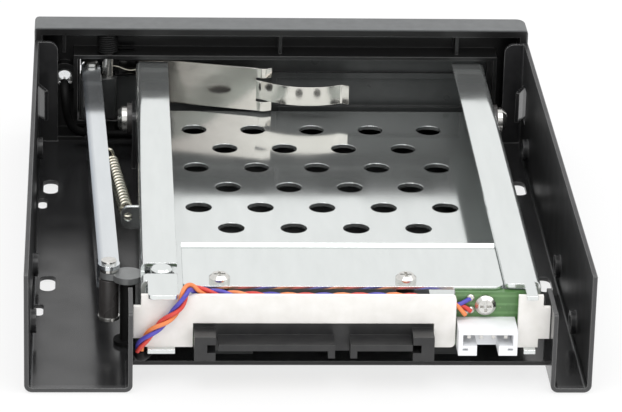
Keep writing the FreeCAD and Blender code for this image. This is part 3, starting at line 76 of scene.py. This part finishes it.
# The dark sleeve, whose near black is partly painted shade over the lead, ends where the lead has come up
# behind the panel's lower corner.
LEAD_SHADE_SLEEVE_END = Vector((-30.6, -61.0, 6.6))
STRAND_RADIUS = 0.41
STRAND_OFFSET = 0.49
# Length of one turn of the twist, and of the stretch in which the wires part.
STRAND_TWIST = 9.5
STRAND_FAN = 5.0
# Colour of each wire, and where its end moves to when the wires part at the board.
STRANDS = {
    "blue": Vector((0.3, 0.2, 2.3)),
    "red": Vector((0.2, 0.3, -0.5)),
    "orange": Vector((-0.5, -0.1, -0.2)),
}
SOLDER_RADIUS = 0.75
SOLDER_HEIGHT = 0.6
SOLDER_RINGS = 5
SOLDER_STEPS = 14

# Tension spring between the link's side and the ear on the cage, in millimetres and degrees.
SPRING_LEG = ((-36.5, 17.4, 14.3), (-35.7, 17.4, 14.3), (-35.2, 17.5, 14.1), (-34.9, 17.7, 13.5))
SPRING_START = Vector((-35.1, 17.6, 11.6))
SPRING_END = Vector((-32.0, -6.3, 9.8))
SPRING_WIRE = 0.34
SPRING_RADIUS = 1.1
SPRING_HOOK = 3.0
SPRING_HOOK_START = 180
SPRING_HOOK_SWEEP = 210
SPRING_TURNS = 17

# Torsion spring on the hinge pin, in millimetres.
HINGE = Vector((-35.8, 58.9, 0))
HINGE_COIL_LOW = 19.45
HINGE_COIL_TURNS = 8
HINGE_COIL_RADIUS = 1.9
HINGE_LEG = 5.6
HINGE_WIRE = 0.24
# Its free leg, which lies on the leaf spring and turns with the door.
HINGE_LEG_ROUTE = (
    (-36.3, 60.5, 15.95), (-34.9, 60.5, 15.95), (-33.6, 60.5, 15.75), (-32.2, 60.45, 15.1),
    (-30.6, 60.45, 14.8), (-29.3, 60.5, 15.4),
)

# Thin front skin of the door's rolled edge above the link's pocket, in millimetres and degrees.
SKIN_INNER = 5.44
SKIN_OUTER = 5.6
SKIN_LOW = 14.0
SKIN_TOP = 18.3
SKIN_START = 88.0
SKIN_END = 143.0
SKIN_STEPS = 16
# It goes on round the edge below and above the link.
SKIN_ROUND = 176.0
SKIN_UNDER_LINK = 15.1
SKIN_OVER_LINK = 16.45

# Where the finishes and the painted light and shade change, in millimetres: a pair is where one starts and
# where it is full.
# Satin grain of the bezel and painted light on its outer faces, as a depth below those faces.
BEZEL_SATIN_AND_PAINTED_LIGHT = (0.4, 0.1)
# Satin paint of the tray's walls, as a distance from their inner faces, and how much rougher it is.
WALL_SHEET = 0.8
WALL_SATIN = (0.5, 0.1)
WALL_ROUGHER = 0.22
# Painted light on the ends of the tray's sheet at the back, as a distance from its back edge.
BACK_PAINTED_LIGHT = (1.5, 0.9)
# Shade along the link's left edge: the edge's slant, where it meets the X axis, and the shade's width.
LINK_SLANT = 0.0338
LINK_LEFT = -39.13
LINK_SHADE = 1.1
# Painted dark reflection at the leaf spring's hinge end and painted highlight on its tongue, along X.
LEAF_DARK_REFLECTION = (-27.0, -30.0)
LEAF_HIGHLIGHT = (-24.0, -2.0)


class Nodes:
    """Node tree of one material, with short ways to add the usual nodes."""

    def __init__(self, name):
        self.material = bpy.data.materials.new(name)
        self.material.use_nodes = True
        self.tree = self.material.node_tree
        self.shader = self.tree.nodes["Principled BSDF"]

    def put(self, value, socket):
        """Link another node's output to a socket, or set the socket to a plain value."""
        if isinstance(value, bpy.types.NodeSocket):
            self.tree.links.new(value, socket)
        else:
            socket.default_value = value

    def add(self, kind, **inputs):
        node = self.tree.nodes.new(kind)
        for key, value in inputs.items():
            self.put(value, node.inputs[key])
        return node

    def feed(self, socket, value):
        """Give one of the shader's own sockets its value."""
        self.put(value, self.shader.inputs[socket])

    def place(self):
        """Point on the object, in metres."""
        return self.add("ShaderNodeTexCoord").outputs["Object"]

    def axes(self):
        """X, Y and Z of the point on the object, in metres."""
        return self.add("ShaderNodeSeparateXYZ", Vector=self.place()).outputs

    def calculate(self, operation, *values):
        node = self.tree.nodes.new("ShaderNodeMath")
        node.operation = operation
        for value, socket in zip(values, node.inputs):
            self.put(value, socket)
        return node.outputs["Value"]

    def noise(self, scale, detail=3.0, stretch=(1, 1, 1)):
        mapping = self.add("ShaderNodeMapping", Vector=self.place(), Scale=stretch)
        texture = self.add("ShaderNodeTexNoise", Vector=mapping.outputs["Vector"], Scale=scale, Detail=detail)
        return texture.outputs["Fac"]

    def spread(self, value, low, high, start=0.3, end=0.7):
        """Value that goes from low to high while the given one goes from start to end."""
        ends = {"From Min": start, "From Max": end, "To Min": low, "To Max": high}
        return self.add("ShaderNodeMapRange", Value=value, **ends).outputs["Result"]

    def grain(self, scale, stretch=(1, 1, 1), detail=4):
        """Blotchy factor between 0 and 1."""
        return self.spread(self.noise(scale, detail, stretch), 0, 1)

    def mix(self, factor, first, second):
        """Colour between two, each a tuple or another node's output."""
        node = self.tree.nodes.new("ShaderNodeMix")
        node.data_type = "RGBA"
        self.put(factor, node.inputs["Factor"])
        for key, value in (("A_Color", first), ("B_Color", second)):
            socket = next(i for i in node.inputs if i.identifier == key)
            self.put((*value, 1) if isinstance(value, tuple) else value, socket)
        return next(o for o in node.outputs if o.identifier == "Result_Color")

    def edges(self, radius):
        """Factor that rises from 0 on flat faces to 1 on sharp edges, and the rounded normal."""
        bevel = self.add("ShaderNodeBevel", Radius=radius * MM)
        bevel.samples = 4
        geometry = self.add("ShaderNodeNewGeometry")
        dot = self.tree.nodes.new("ShaderNodeVectorMath")
        dot.operation = "DOT_PRODUCT"
        self.put(bevel.outputs["Normal"], dot.inputs[0])
        self.put(geometry.outputs["Normal"], dot.inputs[1])
        return self.spread(dot.outputs["Value"], 1, 0, 0.8, 0.98), bevel.outputs["Normal"]

    def bump(self, height, depth, normal=None):
        node = self.add("ShaderNodeBump", Height=height, Strength=1.0, Distance=depth * MM)
        if normal is not None:
            self.put(normal, node.inputs["Normal"])
        return node.outputs["Normal"]


def surface(name, dark, light, rough, metal=0.0, grain=400, stretch=(1, 1, 1), depth=0.01,
            bump_scale=1500, bevel=0.15, painted_edge_highlight=None, gloss=0.5):
    """Material with colour and gloss variation, a fine grain, softened edges and an optional painted
    highlight along them.
    """
    nodes = Nodes(name)
    color = nodes.mix(nodes.grain(grain, stretch), dark, light)
    edge, normal = nodes.edges(bevel)
    # Painted highlight: the edges are mixed towards a light colour.
    if painted_edge_highlight:
        color = nodes.mix(edge, color, painted_edge_highlight)
    nodes.feed("Base Color", color)
    nodes.feed("Roughness", nodes.spread(nodes.noise(grain * 0.3, 2, stretch), *rough))
    nodes.feed("Normal", nodes.bump(nodes.noise(bump_scale, 3, stretch), depth, normal))
    nodes.feed("Metallic", metal)
    nodes.feed("Specular IOR Level", gloss)
    return nodes.material


def make_bezel_material():
    """Moulded black plastic: satin grain on the faces that show in the bay, with painted light in their
    lighter grey, polished inside.
    """
    nodes = Nodes("bezel_plastic")
    low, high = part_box("front_bezel")
    axes = nodes.axes()
    outer = 0.0
    for axis, face, inward in (("Z", high[2], -1), ("X", high[0], -1), ("X", low[0], 1), ("Y", high[1], -1)):
        start, end = (face + inward * depth * MM for depth in BEZEL_SATIN_AND_PAINTED_LIGHT)
        outer = nodes.calculate("MAXIMUM", outer, nodes.spread(axes[axis], 0, 1, start, end))
    grain = nodes.grain(500)
    inside = nodes.mix(grain, (0.006, 0.006, 0.006), (0.010, 0.010, 0.010))
    # The outer faces' lighter grey is partly the satin grain and partly painted light on those lit faces.
    outside = nodes.mix(grain, (0.120, 0.125, 0.127), (0.143, 0.149, 0.151))
    edge, normal = nodes.edges(0.25)
    # Painted highlight along the inner edges.
    inside = nodes.mix(edge, inside, (0.09, 0.09, 0.09))
    nodes.feed("Base Color", nodes.mix(outer, inside, outside))
    nodes.feed("Roughness", nodes.spread(outer, 0.28, 0.5, 0, 1))
    nodes.feed("Normal", nodes.bump(nodes.noise(3500, 2), 0.008, normal))
    return nodes.material


def make_paint_material():
    """Black paint: glossy on the floor, satin on the walls, painted light on the sheet's ends at the back,
    and lighter along the edges, partly as bare cut sheet and partly as painted highlight.
    """
    nodes = Nodes("black_paint")
    wall = NODES["tray"].dimensions.x / 2 - WALL_SHEET * MM
    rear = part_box("tray")[0][1]
    axes = nodes.axes()
    across = nodes.calculate("ABSOLUTE", axes["X"])
    satin = nodes.spread(across, 0, 1, *(wall - distance * MM for distance in WALL_SATIN))
    back = nodes.spread(axes["Y"], 0, 1, *(rear + distance * MM for distance in BACK_PAINTED_LIGHT))
    edge, normal = nodes.edges(0.3)
    color = nodes.mix(nodes.grain(400), (0.022, 0.022, 0.023), (0.030, 0.030, 0.031))
    # Painted light: the sheet's back ends are made lighter grey, where they face the light.
    color = nodes.mix(back, color, (0.052, 0.052, 0.053))
    # The edges are lighter: partly the bare cut sheet, partly a painted highlight.
    nodes.feed("Base Color", nodes.mix(edge, color, (0.20, 0.20, 0.20)))
    gloss = nodes.spread(nodes.noise(120, 2), 0.14, 0.24)
    nodes.feed("Roughness", nodes.calculate("MULTIPLY_ADD", satin, WALL_ROUGHER, gloss))
    nodes.feed("Normal", nodes.bump(nodes.noise(700, 3), 0.003, normal))
    return nodes.material


def make_link_material():
    """Bright zinc on the pressed link, shaded along its left side where the sheet turns down."""
    nodes = Nodes("link_zinc")
    along_link = (3, 0.5, 3)
    axes = nodes.axes()
    across = nodes.calculate("MULTIPLY_ADD", axes["Y"], LINK_SLANT, axes["X"])
    # Painted shade: the zinc is darkened along the left edge, where the sheet turns down.
    painted_shade = nodes.spread(across, 0, 1, (LINK_LEFT + LINK_SHADE) * MM, LINK_LEFT * MM)
    edge, normal = nodes.edges(0.15)
    color = nodes.mix(nodes.grain(120, along_link), (0.68, 0.71, 0.73), (0.73, 0.76, 0.78))
    color = nodes.mix(painted_shade, color, (0.30, 0.33, 0.37))
    # Painted highlight along the edges.
    nodes.feed("Base Color", nodes.mix(edge, color, (0.92, 0.94, 0.95)))
    nodes.feed("Roughness", nodes.spread(nodes.noise(36, 2, along_link), 0.08, 0.15))
    nodes.feed("Normal", nodes.bump(nodes.noise(300, 3, along_link), 0.0006, normal))
    nodes.feed("Metallic", 0.88)
    return nodes.material


def make_leaf_material():
    """Polished spring steel, with painted shade on its body, a painted dark reflection at its hinge end and a
    painted highlight on the tongue.
    """
    nodes = Nodes("spring_steel")
    along_leaf = (0.5, 3, 3)
    across = nodes.axes()["X"]
    grain = nodes.grain(200, along_leaf)
    # Painted shade on the body and painted highlight on the tongue: two tones of one steel.
    body = nodes.mix(grain, (0.400, 0.352, 0.325), (0.465, 0.412, 0.380))
    tongue = nodes.mix(grain, (0.85, 0.81, 0.75), (0.92, 0.88, 0.82))
    edge, normal = nodes.edges(0.1)
    bright = nodes.spread(across, 0, 1, *(x * MM for x in LEAF_HIGHLIGHT))
    # Painted dark reflection: the hinge end is made near black.
    dark_reflection = nodes.spread(across, 0, 1, *(x * MM for x in LEAF_DARK_REFLECTION))
    # Painted highlight along the edges.
    color = nodes.mix(edge, nodes.mix(bright, body, tongue), (0.92, 0.90, 0.86))
    nodes.feed("Base Color", nodes.mix(dark_reflection, color, (0.05, 0.05, 0.05)))
    nodes.feed("Roughness", nodes.spread(nodes.noise(60, 2, along_leaf), 0.06, 0.14))
    nodes.feed("Normal", nodes.bump(nodes.noise(400, 3, along_leaf), 0.001, normal))
    nodes.feed("Metallic", 0.95)
    return nodes.material


def make_board_material():
    """Green solder mask over faint tracks, with small vias."""
    nodes = Nodes("solder_mask")
    place = nodes.place()
    wave = nodes.add("ShaderNodeTexWave", Vector=place, Scale=190.0, Distortion=0.5, Detail=0.0)
    wave.bands_direction = "Z"
    track = nodes.spread(wave.outputs["Fac"], 0, 1, 0.80, 0.88)
    dots = nodes.add("ShaderNodeTexVoronoi", Vector=place, Scale=420.0)
    via = nodes.spread(dots.outputs["Distance"], 1, 0, 0.10, 0.15)
    mask = nodes.mix(nodes.grain(260, detail=3), (0.085, 0.200, 0.062), (0.112, 0.245, 0.085))
    color = nodes.mix(track, mask, (0.145, 0.295, 0.11))
    nodes.feed("Base Color", nodes.mix(via, color, (0.52, 0.50, 0.34)))
    nodes.feed("Roughness", nodes.spread(nodes.noise(600), 0.25, 0.4))
    nodes.feed("Normal", nodes.bump(track, 0.02))
    nodes.feed("Coat Weight", 0.3)
    return nodes.material


def make_lamp_material():
    """Clear resin."""
    nodes = Nodes("lamp_resin")
    nodes.feed("Base Color", nodes.mix(nodes.grain(300, detail=3), (0.82, 0.85, 0.86), (0.95, 0.96, 0.97)))
    nodes.feed("Roughness", nodes.spread(nodes.noise(500), 0.04, 0.09))
    nodes.feed("Transmission Weight", 0.92)
    nodes.feed("IOR", 1.5)
    return nodes.material


def make_metals():
    return {
        "paint": make_paint_material(),
        "link": make_link_material(),
        "leaf": make_leaf_material(),
        "zinc": surface("bright_zinc", (0.745, 0.775, 0.765), (0.785, 0.815, 0.805), (0.07, 0.13), metal=0.88,
                        grain=120, stretch=(3, 0.6, 3), depth=0.0006, bump_scale=300, bevel=0.22,
                        painted_edge_highlight=(0.93, 0.95, 0.95)),
        "coil": surface("coil_steel", (0.60, 0.57, 0.48), (0.72, 0.69, 0.60), (0.08, 0.16), metal=0.95,
                        grain=500, depth=0.002, bump_scale=900, bevel=0.05),
        "screw": surface("plated_screw", (0.62, 0.61, 0.58), (0.76, 0.75, 0.72), (0.14, 0.26), metal=0.95,
                         grain=900, depth=0.004, bump_scale=2500, bevel=0.08, painted_edge_highlight=(0.88, 0.88, 0.86)),
        "solder": surface("solder", (0.66, 0.64, 0.58), (0.78, 0.76, 0.70), (0.18, 0.3), metal=0.9,
                          grain=900, depth=0.004, bump_scale=1500, bevel=0.05),
        "crank": surface("dark_steel", (0.17, 0.175, 0.175), (0.22, 0.226, 0.226), (0.28, 0.4), metal=0.3,
                         grain=500, depth=0.004, bump_scale=900, bevel=0.15, painted_edge_highlight=(0.3, 0.3, 0.3)),
        "dark_wire": surface("dark_wire", (0.005, 0.005, 0.005), (0.009, 0.009, 0.009), (0.5, 0.65),
                             grain=500, depth=0.002, bump_scale=900, bevel=0.05, gloss=0.2),
        "gold": surface("gold_contact", (0.75, 0.55, 0.22), (0.88, 0.68, 0.32), (0.15, 0.25), metal=1.0,
                        grain=900, depth=0.002, bump_scale=2000, bevel=0.04),
    }


def make_plastics():
    return {
        "bezel": make_bezel_material(),
        "board": make_board_material(),
        "lamp": make_lamp_material(),
        "door": surface("door_plastic", (0.036, 0.038, 0.038), (0.048, 0.050, 0.050), (0.26, 0.36),
                        depth=0.006, bump_scale=2500, bevel=0.2, painted_edge_highlight=(0.06, 0.06, 0.06)),
        "plug": surface("connector_plastic", (0.018, 0.018, 0.019), (0.03, 0.03, 0.03), (0.28, 0.4),
                        depth=0.006, bump_scale=2500, bevel=0.12, painted_edge_highlight=(0.06, 0.06, 0.06)),
        "white": surface("white_plastic", (0.86, 0.84, 0.80), (0.93, 0.91, 0.88), (0.3, 0.42),
                         depth=0.006, bump_scale=1200, bevel=0.2),
        "nylon": surface("header_nylon", (0.87, 0.88, 0.90), (0.93, 0.94, 0.96), (0.3, 0.45),
                         depth=0.005, bump_scale=1500, bevel=0.15),
        "rubber": surface("black_rubber", (0.050, 0.046, 0.045), (0.072, 0.068, 0.066), (0.22, 0.36),
                          depth=0.006, bump_scale=2000, bevel=0.15),
        # The lead's sleeve: near black, partly its own colour and partly painted shade.
        "sleeve": surface("lead_sleeve", (0.004, 0.004, 0.004), (0.008, 0.008, 0.008), (0.5, 0.65),
                          depth=0.006, bump_scale=1500, bevel=0.1, gloss=0.12),
        "blue": wire_insulation("blue_wire", (0.07, 0.06, 0.42), (0.12, 0.10, 0.52)),
        "red": wire_insulation("red_wire", (0.62, 0.05, 0.04), (0.74, 0.08, 0.06)),
        "orange": wire_insulation("orange_wire", (0.80, 0.22, 0.07), (0.90, 0.30, 0.11)),
    }


def wire_insulation(name, dark, light):
    return surface(name, dark, light, (0.3, 0.42), grain=500, depth=0.006, bump_scale=1500, bevel=0.05)


NODE_MATERIALS = {
    "paint": ("tray",),
    "zinc": ("drive_cage", "socket_cover", "lip_stud"),
    "link": ("eject_link",),
    "leaf": ("leaf_spring",),
    "coil": ("return_spring",),
    "dark_wire": ("hinge_spring", "crank_post"),
    "screw": ("cover_screws", "board_screw", "side_screws", "floor_screws", "hinge_pin", "link_front_pin",
              "link_rear_pin", "power_header_pins", "indicator_pins"),
    "bezel": ("front_bezel",),
    "door": ("front_door",),
    "plug": ("drive_socket", "host_plug"),
    "white": ("insulator_panel", "insulator_end"),
    "nylon": ("power_header",),
    "rubber": ("side_washers", "pin_sleeve"),
    "sleeve": ("indicator_lead",),
    "crank": ("eject_crank",),
    "gold": ("host_plug_contacts",),
    "board": ("backplane_board",),
    "lamp": ("indicator_lamp",),
}


def dress_nodes(materials):
    """Give each CAD piece its material."""
    for key, names in NODE_MATERIALS.items():
        for name in names:
            mesh = NODES[name].data
            mesh.materials.clear()
            mesh.materials.append(materials[key])


def route_points(route, resolution=16):
    """Points on the smooth curve that has the route's points as control points, in metres."""
    curve = bpy.data.curves.new("route", "CURVE")
    curve.dimensions = "3D"
    curve.resolution_u = resolution
    spline = curve.splines.new("NURBS")
    spline.points.add(len(route) - 1)
    for point, place in zip(spline.points, route):
        point.co = (place[0] * MM, place[1] * MM, place[2] * MM, 1)
    spline.order_u = 3
    spline.use_endpoint_u = True
    holder = bpy.data.objects.new("route", curve)
    mesh = bpy.data.meshes.new_from_object(holder)
    points = [v.co.copy() for v in mesh.vertices]
    bpy.data.objects.remove(holder)
    return points


def side_frames(points):
    """Direction and a side vector that doesn't spin, at each point of a path."""
    frames = []
    side = Vector((0, 0, 1))
    for index in range(len(points)):
        before = points[max(index - 1, 0)]
        after = points[min(index + 1, len(points) - 1)]
        along = (after - before).normalized()
        side = side - along * side.dot(along)
        if side.length < 1e-6:
            side = along.orthogonal()
        side.normalize()
        frames.append((along, side.copy()))
    return frames


def add_piece(name, mesh, material, body="base"):
    """Piece of the scene that rides on a body."""
    mesh.materials.clear()
    mesh.materials.append(material)
    piece = bpy.data.objects.new(name, mesh)
    bpy.context.collection.objects.link(piece)
    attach(piece, body)
    return piece


def tube(name, points, radius, material, body="base"):
    """Round wire through points in metres, as a mesh that rides on a body."""
    curve = bpy.data.curves.new(name, "CURVE")
    curve.dimensions = "3D"
    curve.bevel_depth = radius * MM
    curve.bevel_resolution = 3
    curve.use_fill_caps = True
    spline = curve.splines.new("POLY")
    spline.points.add(len(points) - 1)
    for target, place in zip(spline.points, points):
        target.co = (*place, 1)
    holder = bpy.data.objects.new(name + "_path", curve)
    mesh = bpy.data.meshes.new_from_object(holder)
    bpy.data.objects.remove(holder)
    mesh.name = name
    mesh.polygons.foreach_set("use_smooth", [True] * len(mesh.polygons))
    return add_piece(name, mesh, material, body)


def band(first, count):
    """Faces between one closed ring of vertices and the next."""
    faces = []
    for step in range(count):
        here = first + step
        beside = first + (step + 1) % count
        faces.append((here, beside, beside + count, here + count))
    return faces


def make_solder(materials, ends):
    """Small domes on the board where the wires end."""
    board_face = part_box("backplane_board")[0][1]
    vertices = []
    faces = []
    for end in ends:
        first = len(vertices)
        for ring in range(SOLDER_RINGS):
            tilt = math.radians(90) * ring / SOLDER_RINGS
            radius = SOLDER_RADIUS * MM * math.cos(tilt)
            y = board_face - SOLDER_HEIGHT * MM * math.sin(tilt)
            for step in range(SOLDER_STEPS):
                turn = math.tau * step / SOLDER_STEPS
                vertices.append((end.x + radius * math.cos(turn), y, end.z + radius * math.sin(turn)))
        top = len(vertices)
        vertices.append((end.x, board_face - SOLDER_HEIGHT * MM, end.z))
        for ring in range(SOLDER_RINGS - 1):
            faces += band(first + ring * SOLDER_STEPS, SOLDER_STEPS)
        last = top - SOLDER_STEPS
        faces += [(last + i, last + (i + 1) % SOLDER_STEPS, top) for i in range(SOLDER_STEPS)]
        faces.append(tuple(first + i for i in reversed(range(SOLDER_STEPS))))
    mesh = bpy.data.meshes.new("lead_solder")
    mesh.from_pydata(vertices, [], faces)
    mesh.polygons.foreach_set("use_smooth", [True] * len(mesh.polygons))
    add_piece("lead_solder", mesh, materials["solder"])


def make_lead(materials):
    """Three twisted wires, in a dark sleeve from the lamp to the panel at the back; the sleeve's near black
    is partly painted shade.
    """
    points = route_points(LEAD_ROUTE)
    split = min(range(len(points)), key=lambda i: (points[i] - LEAD_SHADE_SLEEVE_END * MM).length)
    sleeve = tube("lead_sleeve", points[:split + 1], STRAND_RADIUS + STRAND_OFFSET, materials["sleeve"])
    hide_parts("indicator_lead")
    bare = points[split:]
    frames = side_frames(points)[split:]
    to_end = [0.0]
    for after, before in zip(bare[::-1], bare[-2::-1]):
        to_end.append(to_end[-1] + (before - after).length / MM)
    to_end.reverse()
    ends = []
    for index, (color, parting) in enumerate(STRANDS.items()):
        path = []
        for point, (along, side), rest in zip(bare, frames, to_end):
            turn = math.tau * (index / len(STRANDS) - rest / STRAND_TWIST)
            out = side * math.cos(turn) + along.cross(side) * math.sin(turn)
            fan = max(0.0, 1 - rest / STRAND_FAN) ** 2
            path.append(point + (out * STRAND_OFFSET + parting * fan) * MM)
        tube("lead_" + color, path, STRAND_RADIUS, materials[color])
        ends.append(path[-1])
    make_solder(materials, ends)


def helix(start, along, side, radius, turns, length, steps=20):
    """Points of a coil in millimetres."""
    across = along.cross(side)
    points = []
    for step in range(turns * steps + 1):
        share = step / (turns * steps)
        turn = math.tau * turns * share
        out = side * math.cos(turn) + across * math.sin(turn)
        points.append(start + along * (length * share) + out * radius)
    return points


def hook(centre, along, side, radius, start, sweep, steps=14):
    """Part of a circle in the plane of along and side."""
    points = []
    for step in range(steps + 1):
        turn = math.radians(start + sweep * step / steps)
        points.append(centre + along * (radius * math.cos(turn)) + side * (radius * math.sin(turn)))
    return points


def make_return_spring(materials):
    """Tension spring with a bent leg and an open hook, lying along the link's travel."""
    along = (SPRING_END - SPRING_START).normalized()
    side = (Vector((1, 0, 0)) - along * along.x).normalized()
    length = (SPRING_END - SPRING_START).length
    front = [Vector(place) for place in SPRING_LEG]
    coil = helix(SPRING_START, along, side, SPRING_RADIUS, SPRING_TURNS, length - SPRING_HOOK)
    radius = SPRING_HOOK / 2 - SPRING_WIRE
    back = hook(SPRING_END - along * radius, along, side, radius, SPRING_HOOK_START, SPRING_HOOK_SWEEP)
    points = [p * MM for p in front + coil + back]
    spring = tube("return_coil", points, SPRING_WIRE, materials["coil"])
    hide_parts("return_spring")
    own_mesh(spring)


def make_hinge_spring(materials):
    """Close wound torsion spring with one leg at the bezel, and the bright leg that turns with the door."""
    start = Vector((HINGE.x, HINGE.y, HINGE_COIL_LOW + HINGE_WIRE))
    leg = start + Vector((HINGE_LEG, HINGE_COIL_RADIUS, 0))
    coil = helix(start, Vector((0, 0, 1)), Vector((0, 1, 0)), HINGE_COIL_RADIUS, HINGE_COIL_TURNS,
                 HINGE_COIL_TURNS * HINGE_WIRE * 2)
    spring = tube("hinge_coil", [p * MM for p in [leg] + coil], HINGE_WIRE, materials["dark_wire"])
    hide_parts("hinge_spring")
    tube("hinge_leg", route_points(HINGE_LEG_ROUTE), HINGE_WIRE, materials["coil"], "door")


def closed_strip(name, sections, material, body):
    """Closed bar through a row of like sections, given as lists of points in metres."""
    count = len(sections[0])
    last = (len(sections) - 1) * count
    vertices = [point for section in sections for point in section]
    faces = []
    for first in range(0, last, count):
        faces += band(first, count)
    faces.append(tuple(reversed(range(count))))
    faces.append(tuple(last + corner for corner in range(count)))
    mesh = bpy.data.meshes.new(name)
    mesh.from_pydata(vertices, [], faces)
    return add_piece(name, mesh, material, body)


def make_door_skin(materials):
    """Curved skin that carries the door's rolled edge up to its top, parted where the link passes."""
    parts = (("door_skin", SKIN_START, SKIN_END, SKIN_LOW, SKIN_TOP),
             ("door_skin_low", SKIN_END, SKIN_ROUND, SKIN_LOW, SKIN_UNDER_LINK),
             ("door_skin_high", SKIN_END, SKIN_ROUND, SKIN_OVER_LINK, SKIN_TOP))
    for name, first, last, low, top in parts:
        corners = ((SKIN_INNER, low), (SKIN_OUTER, low), (SKIN_OUTER, top), (SKIN_INNER, top))
        sections = []
        for step in range(SKIN_STEPS + 1):
            turn = math.radians(first + (last - first) * step / SKIN_STEPS)
            out = Vector((math.cos(turn), math.sin(turn), 0))
            sections.append([(HINGE + out * radius + Vector((0, 0, z))) * MM for radius, z in corners])
        closed_strip(name, sections, materials["door"], "door")


def make_floor():
    """Pale floor that keeps the shadow, and that the camera and reflections see as nearly white."""
    nodes = Nodes("white_floor")
    nodes.feed("Base Color", nodes.mix(nodes.grain(6, detail=3), (0.90, 0.90, 0.90), (0.93, 0.93, 0.93)))
    nodes.feed("Roughness", 0.9)
    nodes.feed("Specular IOR Level", 0.1)
    glow = nodes.add("ShaderNodeEmission", Color=(1, 1, 1, 1), Strength=1.0)
    rays = nodes.add("ShaderNodeLightPath").outputs
    seen = rays["Is Camera Ray"]
    for kind in ("Is Glossy Ray", "Is Transmission Ray"):
        seen = nodes.calculate("MAXIMUM", seen, rays[kind])
    blend = nodes.add("ShaderNodeMixShader", Fac=nodes.calculate("MULTIPLY", seen, FLOOR_GLOW))
    nodes.put(nodes.shader.outputs["BSDF"], blend.inputs[1])
    nodes.put(glow.outputs["Emission"], blend.inputs[2])
    nodes.put(blend.outputs["Shader"], nodes.tree.nodes["Material Output"].inputs["Surface"])
    corners = ((-1, -1), (1, -1), (1, 1), (-1, 1))
    mesh = bpy.data.meshes.new("floor")
    mesh.from_pydata([(x * FLOOR_HALF, y * FLOOR_HALF, FLOOR_LEVEL) for x, y in corners], [], [(0, 1, 2, 3)])
    mesh.materials.append(nodes.material)
    floor = bpy.data.objects.new("floor", mesh)
    bpy.context.collection.objects.link(floor)


def make_lights():
    """White sky with two soft lamps that point at the object."""
    world = bpy.data.worlds.new("studio")
    bpy.context.scene.world = world
    world.use_nodes = True
    background = world.node_tree.nodes["Background"]
    background.inputs["Color"].default_value = (1, 1, 1, 1)
    background.inputs["Strength"].default_value = SKY_STRENGTH
    for name, place, size, power in LAMPS:
        light = bpy.data.lights.new(name, "AREA")
        light.size = size
        light.energy = power
        lamp = bpy.data.objects.new(name, light)
        lamp.location = place
        lamp.rotation_euler = (-Vector(place)).to_track_quat("-Z", "Y").to_euler()
        bpy.context.collection.objects.link(lamp)


def make_camera():
    """Camera at the photograph's place and angle."""
    pitch, yaw, roll = (math.radians(angle) for angle in (CAMERA_PITCH, CAMERA_YAW, CAMERA_ROLL))
    forward = Vector((math.sin(yaw) * math.cos(pitch), math.cos(yaw) * math.cos(pitch), -math.sin(pitch)))
    level = Vector((math.cos(yaw), -math.sin(yaw), 0))
    upright = level.cross(forward)
    right = level * math.cos(roll) + upright * math.sin(roll)
    up = upright * math.cos(roll) - level * math.sin(roll)
    data = bpy.data.cameras.new("camera")
    data.sensor_fit = "HORIZONTAL"
    data.sensor_width = SENSOR_WIDTH
    data.lens = FOCAL_PIXELS * SENSOR_WIDTH / IMAGE_WIDTH
    data.clip_end = CAMERA_REACH
    camera = bpy.data.objects.new("camera", data)
    turn = Matrix((right, up, -forward)).transposed().to_4x4()
    camera.matrix_world = Matrix.Translation(Vector(CAMERA_AT) * MM) @ turn
    bpy.context.collection.objects.link(camera)
    bpy.context.scene.camera = camera


materials = {**make_metals(), **make_plastics()}
dress_nodes(materials)
make_lead(materials)
make_return_spring(materials)
make_hinge_spring(materials)
make_door_skin(materials)
make_floor()
make_lights()
make_camera()
bpy.context.scene.view_settings.view_transform = "Standard"
